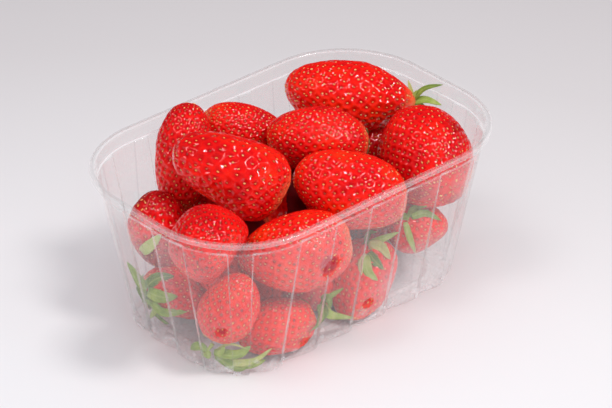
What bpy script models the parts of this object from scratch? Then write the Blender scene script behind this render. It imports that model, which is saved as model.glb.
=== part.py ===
"""Punnet of strawberries.

A clear thermoformed fruit punnet (187 x 124 x 81 mm) with a rolled flange,
wedge-shaped flutes down its draughted walls and a stiffening groove in its
base, and the heap of strawberries that lies in it, as one solid out to its
uneven outline.

Frame: X along the punnet, Y across it, Z up, origin on the ground at the
middle of the footprint.  All lengths are metres.
"""
import math

import bmesh
import bpy
from mathutils import Vector

# --------------------------------------------------------------------------
# driving dimensions
# --------------------------------------------------------------------------
MM = 0.001

# plan of the punnet: a rectangle of corner centres, swept out by an offset
CORE_X = 48.0 * MM          # half length between corner centres
CORE_Y = 16.8 * MM          # half width between corner centres
HEIGHT = 81.4 * MM          # ground to top of flange
SHEET = 0.4 * MM            # thickness of the formed sheet

BASE_OFFSET = 28.0 * MM     # corner radius of the wall at ground level
DRAUGHT = 14.7 / 79.0       # growth of the offset per unit of height
RIM_OFFSET = 45.5 * MM      # corner radius of the flange's outer edge
LIP_DROP = 2.2 * MM         # how far the lip turns down

BAND_Z = 74.5 * MM          # ledge under the plain band below the flange
BAND_OFFSET = 42.7 * MM     # corner radius of the plain band
FILLET_Z = 2.8 * MM         # height of the round between base and wall
FILLET_IN = 2.4 * MM        # its reach along the base

FLUTE_TOP_Z = 74.0 * MM
FLUTE_DEPTH_TOP = 1.0 * MM
FLUTE_DEPTH_BASE = 2.5 * MM
FLUTE_STEP = 0.5 * MM       # run of the steep side of a flute
REF_OFFSET = 35.4 * MM      # corner radius that perimeter lengths refer to

GROOVE_IN = 11.0 * MM       # middle of the base groove, in from the wall
GROOVE_HALF = 1.8 * MM
GROOVE_RISE = 0.8 * MM

WALL_GAP = 0.35 * MM        # clearance between heap and punnet
HEAP_FLOOR = 1.6 * MM
HEAP_VOXEL = 2.0 * MM
HEAP_TRIANGLES = 4000

# Flutes of one half of the perimeter (the other half is this one turned by
# 180 degrees): place of the steep edge along the perimeter, the side its ramp
# runs to, ramp width at the top and at the base, all in millimetres.
# Perimeter zero is the start of the straight front wall, at x = -CORE_X.
FLUTES = (
    (-105.9, -1, 8.3, 11.6),
    (-86.1, -1, 8.8, 14.0),
    (-66.7, -1, 8.8, 14.0),
    (-47.6, -1, 8.3, 11.6),
    (-29.0, -1, 8.3, 11.6),
    (-19.8, +1, 8.3, 11.6),
    (1.1, +1, 8.0, 16.0),
    (22.5, +1, 8.0, 16.0),
    (43.8, +1, 8.0, 16.0),
    (65.2, +1, 8.0, 16.0),
    (86.5, +1, 8.0, 15.0),
    (107.9, +1, 8.3, 11.6),
)

# The berries as they lie: middle x, y, z, heading and pitch of the tip in
# degrees, length, width, and how blunt the stalk end and the tip are (a
# smaller number is blunter).  Millimetres.
BERRIES = (
    # upper layer
    (59.0, 27.5, 71.5, 135, 6, 61, 35, 0.60, 0.48),
    (62.0, -24.5, 59.5, -114, -10, 48, 45, 0.45, 0.45),
    (22.5, 7.0, 71.5, 145, 6, 48, 32, 0.45, 0.45),
    (3.5, 39.5, 69.0, -36, -13, 44, 27, 0.45, 0.60),
    (-32.0, 40.0, 67.5, 36, 55, 51, 28, 0.48, 0.42),
    (-31.5, 5.5, 72.0, 137, 20, 59, 39, 0.38, 0.44),
    (13.5, -25.0, 59.5, 138, 13, 53, 37, 0.45, 0.50),
    # against the walls, middle height
    (-57.5, 26.5, 44.5, 150, 60, 38, 29, 0.45, 0.50),
    (-67.0, -19.0, 63.5, -144, 16, 42, 36, 0.42, 0.50),
    (-25.5, -30.5, 47.0, 146, -11, 54, 37, 0.45, 0.50),
    (-62.0, -25.5, 29.5, -3, 58, 37, 28, 0.45, 0.50),
    (49.5, -33.5, 29.0, -66, -4, 31, 26, 0.42, 0.55),
    (25.5, 35.0, 45.5, 150, -40, 42, 33, 0.43, 0.55),
    (58.0, 33.5, 41.5, -38, 8, 36, 29, 0.43, 0.55),
    (-17.5, 37.0, 43.0, 160, -30, 38, 29, 0.43, 0.55),
    # on the base
    (-38.0, -32.0, 13.5, 161, -11, 39, 27, 0.42, 0.55),
    (15.5, -31.5, 14.5, -144, -31, 38, 26, 0.42, 0.55),
    (63.5, -18.0, 14.5, -40, 24, 32, 26, 0.42, 0.55),
    (-60.5, 12.0, 15.5, -19, -23, 36, 31, 0.42, 0.55),
    (-2.0, 28.5, 18.5, 54, 25, 44, 34, 0.43, 0.55),
    (30.0, 21.5, 17.5, 67, -4, 44, 34, 0.43, 0.55),
    (62.0, 18.0, 18.0, -37, 49, 38, 32, 0.43, 0.55),
    (-3.5, -9.5, 18.0, -96, -32, 44, 33, 0.43, 0.55),
    (-36.5, 29.5, 17.5, 140, -38, 42, 32, 0.43, 0.55),
    # in the middle of the heap
    (46.0, -4.0, 31.0, -162, -63, 38, 32, 0.43, 0.55),
    (19.0, 1.0, 40.0, 56, 14, 36, 29, 0.43, 0.55),
    (-43.0, 0.0, 34.0, -110, -44, 36, 29, 0.43, 0.55),
    (-7.0, 11.0, 44.5, 28, 2, 36, 27, 0.43, 0.55),
)

# What fills the gaps between the berries: middle and half axes, millimetres.
FILLERS = (
    (-30.0, 6.0, 33.0, 34.0, 26.0, 30.0),
    (10.0, 8.0, 36.0, 42.0, 30.0, 32.0),
    (38.0, 12.0, 34.0, 34.0, 26.0, 30.0),
)

SEG, RINGS = 20, 12         # facets round and along one berry


# --------------------------------------------------------------------------
# helpers
# --------------------------------------------------------------------------
def clear_scene():
    for ob in list(bpy.data.objects):
        bpy.data.objects.remove(ob, do_unlink=True)


def new_collection(name):
    col = bpy.data.collections.new(name)
    bpy.context.scene.collection.children.link(col)
    return col


def material(name, colour, roughness, metallic=0.0, alpha=1.0):
    mat = bpy.data.materials.new(name)
    mat.use_nodes = True
    bsdf = mat.node_tree.nodes["Principled BSDF"]
    bsdf.inputs["Base Color"].default_value = (*colour, 1.0)
    bsdf.inputs["Roughness"].default_value = roughness
    bsdf.inputs["Metallic"].default_value = metallic
    bsdf.inputs["Alpha"].default_value = alpha
    mat.diffuse_color = (*colour, alpha)
    return mat


def add_object(name, mesh, col, mat=None):
    ob = bpy.data.objects.new(name, mesh)
    col.objects.link(ob)
    if mat is not None:
        mesh.materials.append(mat)
    return ob


def mesh_from(bm, name):
    mesh = bpy.data.meshes.new(name)
    bm.to_mesh(mesh)
    bm.free()
    return mesh


# --------------------------------------------------------------------------
# the punnet's plan
# --------------------------------------------------------------------------
ARC = REF_OFFSET * math.pi / 2            # one corner, as perimeter length
HALF = 2 * CORE_X + ARC + 2 * CORE_Y + ARC


def plan_point(s, offset):
    """Point of the outline at perimeter length s, offset from the core."""
    turned = 1.0
    s = s % (2 * HALF)
    if s >= HALF:
        s -= HALF
        turned = -1.0
    if s <= 2 * CORE_X:                                     # front wall
        base, ang = (s - CORE_X, -CORE_Y), -math.pi / 2
    elif s <= 2 * CORE_X + ARC:                             # front corner
        ang = -math.pi / 2 + (s - 2 * CORE_X) / REF_OFFSET
        base = (CORE_X, -CORE_Y)
    elif s <= 2 * CORE_X + ARC + 2 * CORE_Y:                # end wall
        base, ang = (CORE_X, s - 2 * CORE_X - ARC - CORE_Y), 0.0
    else:                                                   # back corner
        ang = (s - 2 * CORE_X - ARC - 2 * CORE_Y) / REF_OFFSET
        base = (CORE_X, CORE_Y)
    x = base[0] + offset * math.cos(ang)
    y = base[1] + offset * math.sin(ang)
    return turned * x, turned * y


def in_corner(s):
    s = s % HALF
    return (2 * CORE_X < s < 2 * CORE_X + ARC
            or s > 2 * CORE_X + ARC + 2 * CORE_Y)


def wall_offset(z):
    return BASE_OFFSET + DRAUGHT * z


def stations():
    """Perimeter stations, each as (place at top, place at base, depth share,
    direction of the steep edge or 0).  A flute gives three: the steep edge
    on the wall, its foot in the flute, and the end of the ramp."""
    half = []
    for s_w, side, w_top, w_base in FLUTES:
        s_w *= MM
        trio = [(s_w, s_w, 0.0, side),
                (s_w + side * FLUTE_STEP, s_w + side * FLUTE_STEP, 1.0, side),
                (s_w + side * w_top * MM, s_w + side * w_base * MM, 0.0, 0)]
        half += trio if side > 0 else trio[::-1]
    marks = half + [(a + HALF, b + HALF, d, e) for a, b, d, e in half]
    # curved stretches get stations in between
    out = []
    max_step = math.radians(12.0) * REF_OFFSET
    for i, (a, b, d, e) in enumerate(marks):
        nxt = marks[(i + 1) % len(marks)]
        a2, b2 = nxt[0], nxt[1]
        if i + 1 == len(marks):
            a2, b2 = a2 + 2 * HALF, b2 + 2 * HALF
        out.append((a, b, d, e))
        mid = (a + a2 + b + b2) / 4
        if in_corner(mid) or in_corner(a) or in_corner(a2):
            n = int(max(a2 - a, b2 - b) / max_step)
            for k in range(1, n + 1):
                t = k / (n + 1)
                out.append((a + (a2 - a) * t, b + (b2 - b) * t,
                            d + (nxt[2] - d) * t, 0))
    return out


STATIONS = stations()


def flute_depth(z):
    t = min(max(z / FLUTE_TOP_Z, 0.0), 1.0)
    return FLUTE_DEPTH_BASE + (FLUTE_DEPTH_TOP - FLUTE_DEPTH_BASE) * t


def loop(bm, offset, z, fluted, skin):
    """One closed ring of vertices round the punnet.  skin is how far this
    surface lies behind the outer one; steep edges move with it."""
    ring = []
    t = min(max(z / FLUTE_TOP_Z, 0.0), 1.0)
    for s_top, s_base, share, side in STATIONS:
        s = s_base + (s_top - s_base) * t - side * skin * 0.9
        d = offset - (flute_depth(z) * share if fluted else 0.0)
        x, y = plan_point(s, d)
        ring.append(bm.verts.new((x, y, z)))
    return ring


def bridge(bm, lower, upper):
    n = len(lower)
    for i in range(n):
        j = (i + 1) % n
        bm.faces.new((lower[i], lower[j], upper[j], upper[i]))


def build_tray(col, mat):
    bm = bmesh.new()
    b, t, w = BASE_OFFSET, SHEET, wall_offset
    g_in, g_out = b - GROOVE_IN - GROOVE_HALF, b - GROOVE_IN + GROOVE_HALF
    mid = b - GROOVE_IN
    # (offset, height, fluted, distance behind the outer skin)
    path = [
        (g_in, 0.0, False, 0.0),
        (mid, GROOVE_RISE, False, 0.0),
        (g_out, 0.0, False, 0.0),
        (b - FILLET_IN, 0.0, True, 0.0),
        (b - 0.6 * MM, 0.9 * MM, True, 0.0),
        (w(FILLET_Z), FILLET_Z, True, 0.0),
        (w(38 * MM), 38 * MM, True, 0.0),
        (w(FLUTE_TOP_Z), FLUTE_TOP_Z, True, 0.0),
        (BAND_OFFSET, BAND_Z, False, 0.0),
        (BAND_OFFSET + 0.05 * MM, HEIGHT - t, False, 0.0),
        (RIM_OFFSET - t, HEIGHT - t, False, 0.0),
        (RIM_OFFSET - t, HEIGHT - LIP_DROP, False, 0.0),
        (RIM_OFFSET, HEIGHT - LIP_DROP, False, 0.0),
        (RIM_OFFSET, HEIGHT - 0.35 * MM, False, 0.0),
        (RIM_OFFSET - 0.35 * MM, HEIGHT, False, 0.0),
        (BAND_OFFSET + 0.2 * MM, HEIGHT, False, t),
        (BAND_OFFSET - t, HEIGHT - 0.5 * MM, False, t),
        (BAND_OFFSET - t, BAND_Z + 0.2 * MM, False, t),
        (w(FLUTE_TOP_Z) - t, FLUTE_TOP_Z + 0.1 * MM, True, t),
        (w(38 * MM) - t, 38 * MM, True, t),
        (w(FILLET_Z) - t, FILLET_Z, True, t),
        (b - 0.95 * MM, 1.25 * MM, True, t),
        (b - FILLET_IN - 0.1 * MM, t, True, t),
        (g_out + 0.1 * MM, t, False, t),
        (mid, GROOVE_RISE + t, False, t),
        (g_in - 0.1 * MM, t, False, t),
    ]
    rings = [loop(bm, *p) for p in path]
    for lower, upper in zip(rings, rings[1:]):
        bridge(bm, lower, upper)
    bm.faces.new(rings[0][::-1])
    bm.faces.new(rings[-1])
    bmesh.ops.recalc_face_normals(bm, faces=bm.faces[:])
    bmesh.ops.triangulate(bm, faces=bm.faces[:])
    mesh = mesh_from(bm, "punnet_tray")
    mesh.shade_smooth()
    mesh.set_sharp_from_angle(angle=math.radians(28))
    return add_object("punnet_tray", mesh, col, mat)


# --------------------------------------------------------------------------
# the heap
# --------------------------------------------------------------------------
def berry_radius(s, width, alpha, beta):
    """Radius at share s of the length, stalk end 0 to tip 1."""
    s = min(max(s, 0.0), 1.0)
    peak = alpha / (alpha + beta)
    top = peak ** alpha * (1 - peak) ** beta
    return width / 2 * s ** alpha * (1 - s) ** beta / top


def add_berry(bm, row):
    x, y, z, heading, pitch, length, width, alpha, beta = row
    length, width = length * MM, width * MM
    made = bmesh.ops.create_uvsphere(bm, u_segments=SEG, v_segments=RINGS,
                                     radius=1.0)
    h, p = math.radians(heading), math.radians(pitch)
    tip = Vector((math.cos(p) * math.cos(h), math.cos(p) * math.sin(h),
                  math.sin(p)))
    turn = tip.to_track_quat('Z', 'Y')
    middle = Vector((x, y, z)) * MM
    for v in made["verts"]:
        s = (v.co.z + 1) / 2
        flat = math.hypot(v.co.x, v.co.y)
        r = berry_radius(s, width, alpha, beta)
        if flat > 1e-6:
            side = Vector((v.co.x / flat * r, v.co.y / flat * r,
                           (s - 0.5) * length))
        else:
            side = Vector((0, 0, (s - 0.5) * length))
        v.co = middle + turn @ side


def add_filler(bm, row):
    x, y, z, a, b, c = (q * MM for q in row)
    made = bmesh.ops.create_uvsphere(bm, u_segments=24, v_segments=14,
                                     radius=1.0)
    for v in made["verts"]:
        v.co = Vector((x + a * v.co.x, y + b * v.co.y, z + c * v.co.z))


def cavity_solid(col):
    """The room inside the punnet, clear of its walls, open far above."""
    bm = bmesh.new()
    n = 16
    rings = []
    levels = [(HEAP_FLOOR, None), (40 * MM, None), (BAND_Z, None),
              (BAND_Z + 0.1 * MM, BAND_OFFSET), (HEIGHT + 30 * MM, BAND_OFFSET)]
    for z, fixed in levels:
        if fixed is None:
            d = wall_offset(z) - flute_depth(z)
        else:
            d = wall_offset(BAND_Z) - 0.2 * MM
        d -= SHEET + WALL_GAP
        ring = []
        for cx, cy, a0 in ((CORE_X, -CORE_Y, -90), (CORE_X, CORE_Y, 0),
                           (-CORE_X, CORE_Y, 90), (-CORE_X, -CORE_Y, 180)):
            for k in range(n + 1):
                a = math.radians(a0 + 90.0 * k / n)
                ring.append(bm.verts.new((cx + d * math.cos(a),
                                          cy + d * math.sin(a), z)))
        rings.append(ring)
    for lower, upper in zip(rings, rings[1:]):
        bridge(bm, lower, upper)
    bm.faces.new(rings[0][::-1])
    bm.faces.new(rings[-1])
    bmesh.ops.recalc_face_normals(bm, faces=bm.faces[:])
    ob = add_object("cavity_room", mesh_from(bm, "cavity_room"), col)
    ob.hide_render = True
    ob.display_type = 'WIRE'
    return ob


def keep_largest_body(mesh):
    """Drop pockets that are shut inside the heap."""
    bm = bmesh.new()
    bm.from_mesh(mesh)
    left = set(bm.faces)
    bodies = []
    while left:
        seed = left.pop()
        body, front = {seed}, [seed]
        while front:
            f = front.pop()
            for e in f.edges:
                for g in e.link_faces:
                    if g in left:
                        left.discard(g)
                        body.add(g)
                        front.append(g)
        bodies.append(body)
    bodies.sort(key=len)
    drop = [f for body in bodies[:-1] for f in body]
    bmesh.ops.delete(bm, geom=drop, context='FACES')
    bm.to_mesh(mesh)
    bm.free()


def evaluated_mesh(ob, name):
    deps = bpy.context.evaluated_depsgraph_get()
    return bpy.data.meshes.new_from_object(ob.evaluated_get(deps),
                                           depsgraph=deps)


def build_heap(col, cut_col, mat):
    # the berries and what lies between them, run together into one skin
    bm = bmesh.new()
    for row in BERRIES:
        add_berry(bm, row)
    for row in FILLERS:
        add_filler(bm, row)
    ob = add_object("strawberry_heap", mesh_from(bm, "heap_pieces"), col)
    fuse = ob.modifiers.new("fuse", 'REMESH')
    fuse.mode = 'VOXEL'
    fuse.voxel_size = HEAP_VOXEL
    fuse.adaptivity = 0.0
    bpy.context.view_layer.update()
    fused = evaluated_mesh(ob, "heap_fused")
    ob.modifiers.clear()
    keep_largest_body(fused)
    ob.data = fused
    # thinned to well shaped facets
    thin = ob.modifiers.new("thin", 'DECIMATE')
    fused.calc_loop_triangles()
    thin.ratio = HEAP_TRIANGLES / len(fused.loop_triangles)
    bpy.context.view_layer.update()
    thinned = evaluated_mesh(ob, "heap_thinned")
    ob.modifiers.clear()
    ob.data = thinned
    # pressed flat where it meets the punnet
    room = cavity_solid(cut_col)
    cut = ob.modifiers.new("inside_punnet", 'BOOLEAN')
    cut.operation = 'INTERSECT'
    cut.solver = 'EXACT'
    cut.object = room
    bpy.context.view_layer.update()
    final = evaluated_mesh(ob, "strawberry_heap")
    ob.modifiers.clear()
    keep_largest_body(final)
    bm = bmesh.new()
    bm.from_mesh(final)
    bmesh.ops.triangulate(bm, faces=bm.faces[:])
    bmesh.ops.remove_doubles(bm, verts=bm.verts[:], dist=0.02 * MM)
    bmesh.ops.dissolve_degenerate(bm, edges=bm.edges[:], dist=0.01 * MM)
    bmesh.ops.triangulate(bm, faces=bm.faces[:])
    bmesh.ops.recalc_face_normals(bm, faces=bm.faces[:])
    bm.to_mesh(final)
    bm.free()
    final.materials.clear()
    final.materials.append(mat)
    final.shade_smooth()
    final.set_sharp_from_angle(angle=math.radians(40))
    ob.data = final
    return ob


def main():
    clear_scene()
    parts = new_collection("punnet_of_strawberries")
    cutters = new_collection("cutters")
    clear = material("clear_sheet", (0.90, 0.92, 0.93), 0.08, alpha=0.25)
    red = material("strawberry_red", (0.72, 0.012, 0.02), 0.32)
    build_tray(parts, clear)
    build_heap(parts, cutters, red)


main()
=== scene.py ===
"""Looks for the punnet of strawberries: the clear fluted tray with its rolled
rim, every berry with its dimpled skin, seeds and leaves, the dark core of the
heap, a pale floor, soft lights and the camera.

All lengths below are millimetres in the frame of the CAD model (X along the
punnet, Y across it, Z up) and turn into metres where meshes are made.
"""

import math

import bpy
import numpy as np
from mathutils import Matrix, Vector


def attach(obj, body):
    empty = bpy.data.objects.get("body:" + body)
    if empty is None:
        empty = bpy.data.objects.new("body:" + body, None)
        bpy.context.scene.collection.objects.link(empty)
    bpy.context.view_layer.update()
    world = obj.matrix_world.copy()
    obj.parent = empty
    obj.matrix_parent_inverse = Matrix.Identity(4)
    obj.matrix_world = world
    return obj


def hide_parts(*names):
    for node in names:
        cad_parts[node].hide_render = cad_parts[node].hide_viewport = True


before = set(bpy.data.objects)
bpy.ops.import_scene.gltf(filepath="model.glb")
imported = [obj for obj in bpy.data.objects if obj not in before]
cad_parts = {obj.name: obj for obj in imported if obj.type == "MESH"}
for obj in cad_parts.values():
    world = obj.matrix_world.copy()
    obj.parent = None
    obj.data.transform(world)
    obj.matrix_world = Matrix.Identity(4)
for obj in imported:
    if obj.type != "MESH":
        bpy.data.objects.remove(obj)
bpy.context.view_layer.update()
MM = 0.001
RNG = np.random.default_rng(20417)

# --------------------------------------------------------------------------
# camera vectors (also used to lay out which side of a berry is its broad one)
# --------------------------------------------------------------------------
TARGET = np.array([-0.9, -9.9, 52.7])
DISTANCE = 1409.0
AZ, EL = math.radians(-41.98), math.radians(31.43)
CAM_RIGHT = np.array([math.cos(AZ), math.sin(AZ), 0.0])
CAM_BACK = np.array([math.sin(AZ) * math.cos(EL), -math.cos(AZ) * math.cos(EL),
                     math.sin(EL)])
CAM_UP = np.cross(CAM_BACK, CAM_RIGHT)

# --------------------------------------------------------------------------
# the punnet's sizes, as in the CAD part
# --------------------------------------------------------------------------
CORE_X, CORE_Y = 48.0, 16.8
HEIGHT, SHEET = 81.4, 0.4
BASE_OFFSET, DRAUGHT = 28.0, 14.7 / 79.0
RIM_OFFSET, BAND_Z, BAND_OFFSET = 45.5, 74.5, 42.7
FLUTE_TOP_Z, FLUTE_DEPTH_TOP, FLUTE_DEPTH_BASE = 74.0, 1.0, 2.5
REF_OFFSET = 35.4
GROOVE_IN, GROOVE_HALF, GROOVE_RISE = 11.0, 1.8, 0.8
FLUTES = (
    (-105.9, -1, 8.3, 11.6), (-86.1, -1, 8.8, 14.0), (-66.7, -1, 8.8, 14.0),
    (-47.6, -1, 8.3, 11.6), (-29.0, -1, 8.3, 11.6), (-19.8, +1, 8.3, 11.6),
    (1.1, +1, 8.0, 16.0), (22.5, +1, 8.0, 16.0), (43.8, +1, 8.0, 16.0),
    (65.2, +1, 8.0, 16.0), (86.5, +1, 8.0, 15.0), (107.9, +1, 8.3, 11.6),
)
ARC = REF_OFFSET * math.pi / 2
HALF = 2 * CORE_X + ARC + 2 * CORE_Y + ARC

# --------------------------------------------------------------------------
# the berries: name, (middle x y z, heading and pitch of the tip, length,
# width, bluntness of stalk end and tip), seed spacing, flattening, grid
# fineness, look {bend, neck, tone, seed, calyx ...}
# --------------------------------------------------------------------------
BERRIES = (
    # b01's seed=0.15 pales its seeds, partly its own colour and partly painted light for its lamp-lit
    # top
    ("b01", (59.0, 27.5, 71.5, 135, 6, 61, 35, 0.60, 0.48), 4.1, 0.04, 64,
     dict(seed=0.15, neck=1, bend=1.2, tone=0.55)),
    ("b02", (62.0, -24.5, 59.5, -114, -10, 48, 45, 0.45, 0.45), 3.7, 0.03, 60,
     dict(tone=0.25, calyx="clasp")),
    ("b03", (22.5, 7.0, 71.5, 145, 6, 48, 32, 0.45, 0.45), 3.5, 0.03, 56,
     dict(seed=-0.05, tone=0.5, calyx="tuck")),
    ("b04", (3.5, 39.5, 69.0, -36, -13, 44, 27, 0.45, 0.60), 2.9, 0.02, 54,
     dict(seed=0.0, tone=0.45)),
    ("b05", (-32.0, 40.0, 67.5, 36, 55, 51, 28, 0.48, 0.42), 3.5, -0.04, 56,
     dict(seed=-0.1, tone=0.3)),
    ("b06", (-31.5, 5.5, 72.0, 137, 20, 59, 39, 0.38, 0.44), 5.2, 0.07, 72,
     dict(seed=0.0, tone=0.4, bend=-1.0)),
    ("b07", (13.5, -25.0, 59.5, 138, 13, 53, 37, 0.45, 0.50), 4.0, 0.03, 60,
     dict(tone=0.55)),
    # b08's low tone is painted shade: it lies in the shadow of the berries above
    ("b08", (-57.5, 26.5, 44.5, 150, 60, 38, 29, 0.45, 0.50), 3.5, 0.03, 42,
     dict(tone=-0.1)),
    ("b09", (-67.0, -19.0, 63.5, -144, 16, 42, 36, 0.42, 0.50), 3.7, 0.02, 54,
     dict(seed=-0.4, tone=0.35)),
    ("b10", (-25.5, -30.5, 47.0, 146, -11, 54, 37, 0.45, 0.50), 3.9, 0.02, 62,
     dict(tone=0.75)),
    ("b11", (-62.0, -25.5, 29.5, -3, 58, 37, 28, 0.45, 0.50), 3.4, 0.02, 44,
     dict(tone=0.7)),
    ("b12", (-38.0, -32.0, 13.5, 161, -11, 39, 27, 0.42, 0.55), 3.3, 0.02, 44,
     dict(tone=0.7)),
    ("b13", (14.0, -30.5, 14.5, -144, -31, 40, 29, 0.42, 0.52), 3.4, 0.02, 44,
     dict(tone=0.6)),
    ("b14", (49.5, -33.5, 29.0, -66, -4, 31, 26, 0.42, 0.55), 3.3, 0.02, 40,
     dict(tone=0.4)),
    ("b15", (-60.5, 12.0, 15.5, -19, -23, 36, 31, 0.42, 0.55), 3.4, 0.02, 42,
     dict(tone=0.3)),
    ("h6", (25.5, 35.0, 45.5, 150, -40, 42, 33, 0.43, 0.55), 3.6, 0.03, 36,
     dict(tone=0.30, calyx="clasp")),
    ("h9", (65.0, 21.0, 43.5, -38, 8, 36, 30, 0.43, 0.55), 3.5, 0.03, 36,
     dict(tone=0.05)),
    ("h10", (-17.5, 37.0, 43.0, 160, -30, 36, 29, 0.43, 0.55), 3.4, 0.03, 36,
     dict(tone=0.50, calyx="clasp")),
    ("h7", (64.5, -7.0, 16.0, -40, 24, 32, 26, 0.42, 0.55), 3.4, 0.03, 36,
     dict(tone=0.35, calyx="clasp")),
    ("h1", (-2.0, 28.5, 18.5, 54, 25, 44, 34, 0.43, 0.55), 3.7, 0.03, 36,
     dict(tone=0.30)),
    ("h2", (30.0, 21.5, 17.5, 67, -4, 44, 34, 0.43, 0.55), 3.7, 0.03, 36,
     dict(tone=0.45)),
    ("h3", (62.0, 18.0, 18.0, -37, 49, 36, 32, 0.43, 0.55), 3.6, 0.03, 36,
     dict(tone=0.35, calyx="clasp")),
    ("h5", (-36.5, 29.5, 17.5, 140, -38, 42, 32, 0.43, 0.55), 3.6, 0.03, 36,
     dict(tone=0.40, calyx="clasp")),
    ("h4", (-3.5, -9.5, 18.0, -96, -32, 44, 33, 0.43, 0.55), 3.8, 0.02, 30,
     dict(tone=0.30)),
    ("h8", (46.0, -4.0, 31.0, -162, -63, 38, 32, 0.43, 0.55), 3.8, 0.02, 26,
     dict(tone=0.30)),
    ("h12", (19.0, 1.0, 40.0, 56, 14, 36, 29, 0.43, 0.55), 3.8, 0.02, 24,
     dict(tone=0.30)),
    ("h13", (-43.0, 0.0, 34.0, -110, -44, 36, 29, 0.43, 0.55), 3.8, 0.02, 24,
     dict(tone=0.30)),
    ("h15", (-30.0, -6.0, 15.0, 20, 5, 37, 27, 0.43, 0.55), 3.8, 0.02, 20,
     dict(tone=0.30)),
    ("h14", (-7.0, 11.0, 44.5, 28, 2, 36, 27, 0.43, 0.55), 3.8, 0.02, 24,
     dict(tone=0.30)),
)

# How far each berry's outline stands out from a turned shape, at 24 even
# steps round it as seen by the viewer, from the left side on round the foot.
GIRTH = {
    "b15": (0.846, 0.706, 0.605, 0.547, 0.526, 0.525, 0.550, 0.613,
            0.711, 0.815, 0.885, 0.943, 0.989, 1.000, 1.000, 1.000,
            1.000, 1.000, 1.000, 1.006, 1.031, 1.061, 1.068, 0.988),
    "b01": (0.961, 0.909, 0.923, 0.961, 0.992, 0.997, 0.984, 0.968,
            0.955, 0.946, 0.958, 1.059, 1.102, 1.069, 1.079, 1.110,
            1.112, 1.068, 1.029, 1.016, 1.005, 0.999, 1.001, 0.998),
    "b02": (0.994, 0.994, 0.999, 1.008, 1.017, 1.025, 1.036, 1.051,
            1.063, 1.052, 1.027, 1.003, 0.994, 0.988, 0.985, 0.993,
            1.009, 1.022, 1.032, 1.056, 1.083, 1.085, 1.052, 1.012),
    "b03": (1.027, 1.015, 1.008, 1.002, 1.000, 1.000, 1.000, 1.000,
            1.001, 1.003, 1.007, 1.007, 0.988, 0.943, 0.913, 0.917,
            0.933, 0.943, 0.939, 0.921, 0.918, 0.932, 0.968, 1.026),
    "b04": (0.979, 0.996, 1.000, 1.000, 1.000, 1.000, 1.000, 1.000,
            1.000, 1.000, 1.000, 1.000, 1.002, 1.004, 1.000, 0.978,
            0.960, 0.952, 0.950, 0.954, 0.965, 0.971, 0.950, 0.957),
    "b05": (1.062, 1.055, 1.028, 1.004, 0.999, 0.999, 1.000, 1.000,
            1.000, 1.000, 1.000, 1.000, 1.000, 0.997, 0.986, 0.972,
            0.972, 1.003, 1.024, 1.053, 1.060, 1.082, 1.081, 1.068),
    "b06": (0.849, 0.765, 0.727, 0.725, 0.752, 0.797, 0.860, 0.926,
            0.929, 0.858, 0.824, 0.853, 0.908, 0.969, 0.982, 0.962,
            0.948, 0.945, 0.963, 1.000, 1.059, 1.112, 1.078, 0.971),
    "b07": (0.966, 0.919, 0.935, 0.967, 0.984, 0.955, 0.910, 0.876,
            0.880, 0.916, 0.965, 0.996, 0.993, 0.995, 1.008, 1.015,
            1.012, 1.013, 1.027, 1.058, 1.102, 1.139, 1.124, 1.055),
    "b08": (1.022, 1.035, 1.028, 1.014, 1.003, 1.000, 1.000, 1.000,
            1.000, 1.000, 1.000, 1.000, 1.001, 1.006, 1.013, 1.040,
            1.115, 1.166, 1.182, 1.141, 1.056, 1.000, 0.997, 1.008),
    "b09": (1.056, 1.082, 1.056, 1.010, 1.002, 1.010, 0.973, 0.884,
            0.806, 0.760, 0.733, 0.742, 0.845, 0.971, 0.988, 0.963,
            0.954, 0.959, 0.961, 0.959, 0.961, 0.962, 0.974, 1.017),
    "b10": (0.987, 0.959, 0.915, 0.915, 0.951, 0.981, 0.997, 1.005,
            0.996, 0.989, 0.985, 0.978, 0.971, 0.971, 0.967, 0.986,
            1.003, 0.993, 0.969, 0.937, 0.921, 0.926, 0.947, 0.979),
    "b11": (0.933, 0.940, 0.922, 0.908, 0.902, 0.886, 0.879, 0.913,
            0.967, 0.998, 1.003, 1.005, 0.996, 0.976, 0.962, 0.957,
            0.954, 0.946, 0.909, 0.878, 0.862, 0.866, 0.883, 0.907),
    "b12": (1.005, 1.010, 1.017, 1.027, 1.033, 1.032, 1.023, 1.013,
            1.012, 1.004, 0.974, 0.948, 0.934, 0.916, 0.887, 0.845,
            0.805, 0.813, 0.868, 0.934, 0.987, 1.000, 1.000, 1.001),
    "b13": (0.974, 0.947, 0.944, 0.997, 1.030, 1.031, 1.017, 1.006,
            1.013, 1.026, 1.041, 1.069, 1.117, 1.181, 1.227, 1.204,
            1.128, 1.056, 1.025, 1.015, 1.007, 1.001, 1.000, 0.995),
    "b14": (0.995, 0.990, 0.987, 0.987, 0.978, 0.941, 0.865, 0.784,
            0.729, 0.703, 0.719, 0.795, 0.910, 0.974, 0.974, 0.978,
            0.989, 0.998, 1.000, 1.000, 1.000, 1.000, 1.000, 0.999),
    "h7": (0.975, 0.950, 0.886, 0.812, 0.774, 0.760, 0.750, 0.747,
            0.749, 0.771, 0.838, 0.919, 0.984, 1.000, 1.000, 1.000,
            1.000, 1.000, 1.000, 1.000, 1.000, 1.000, 0.998, 0.988),
}

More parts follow.
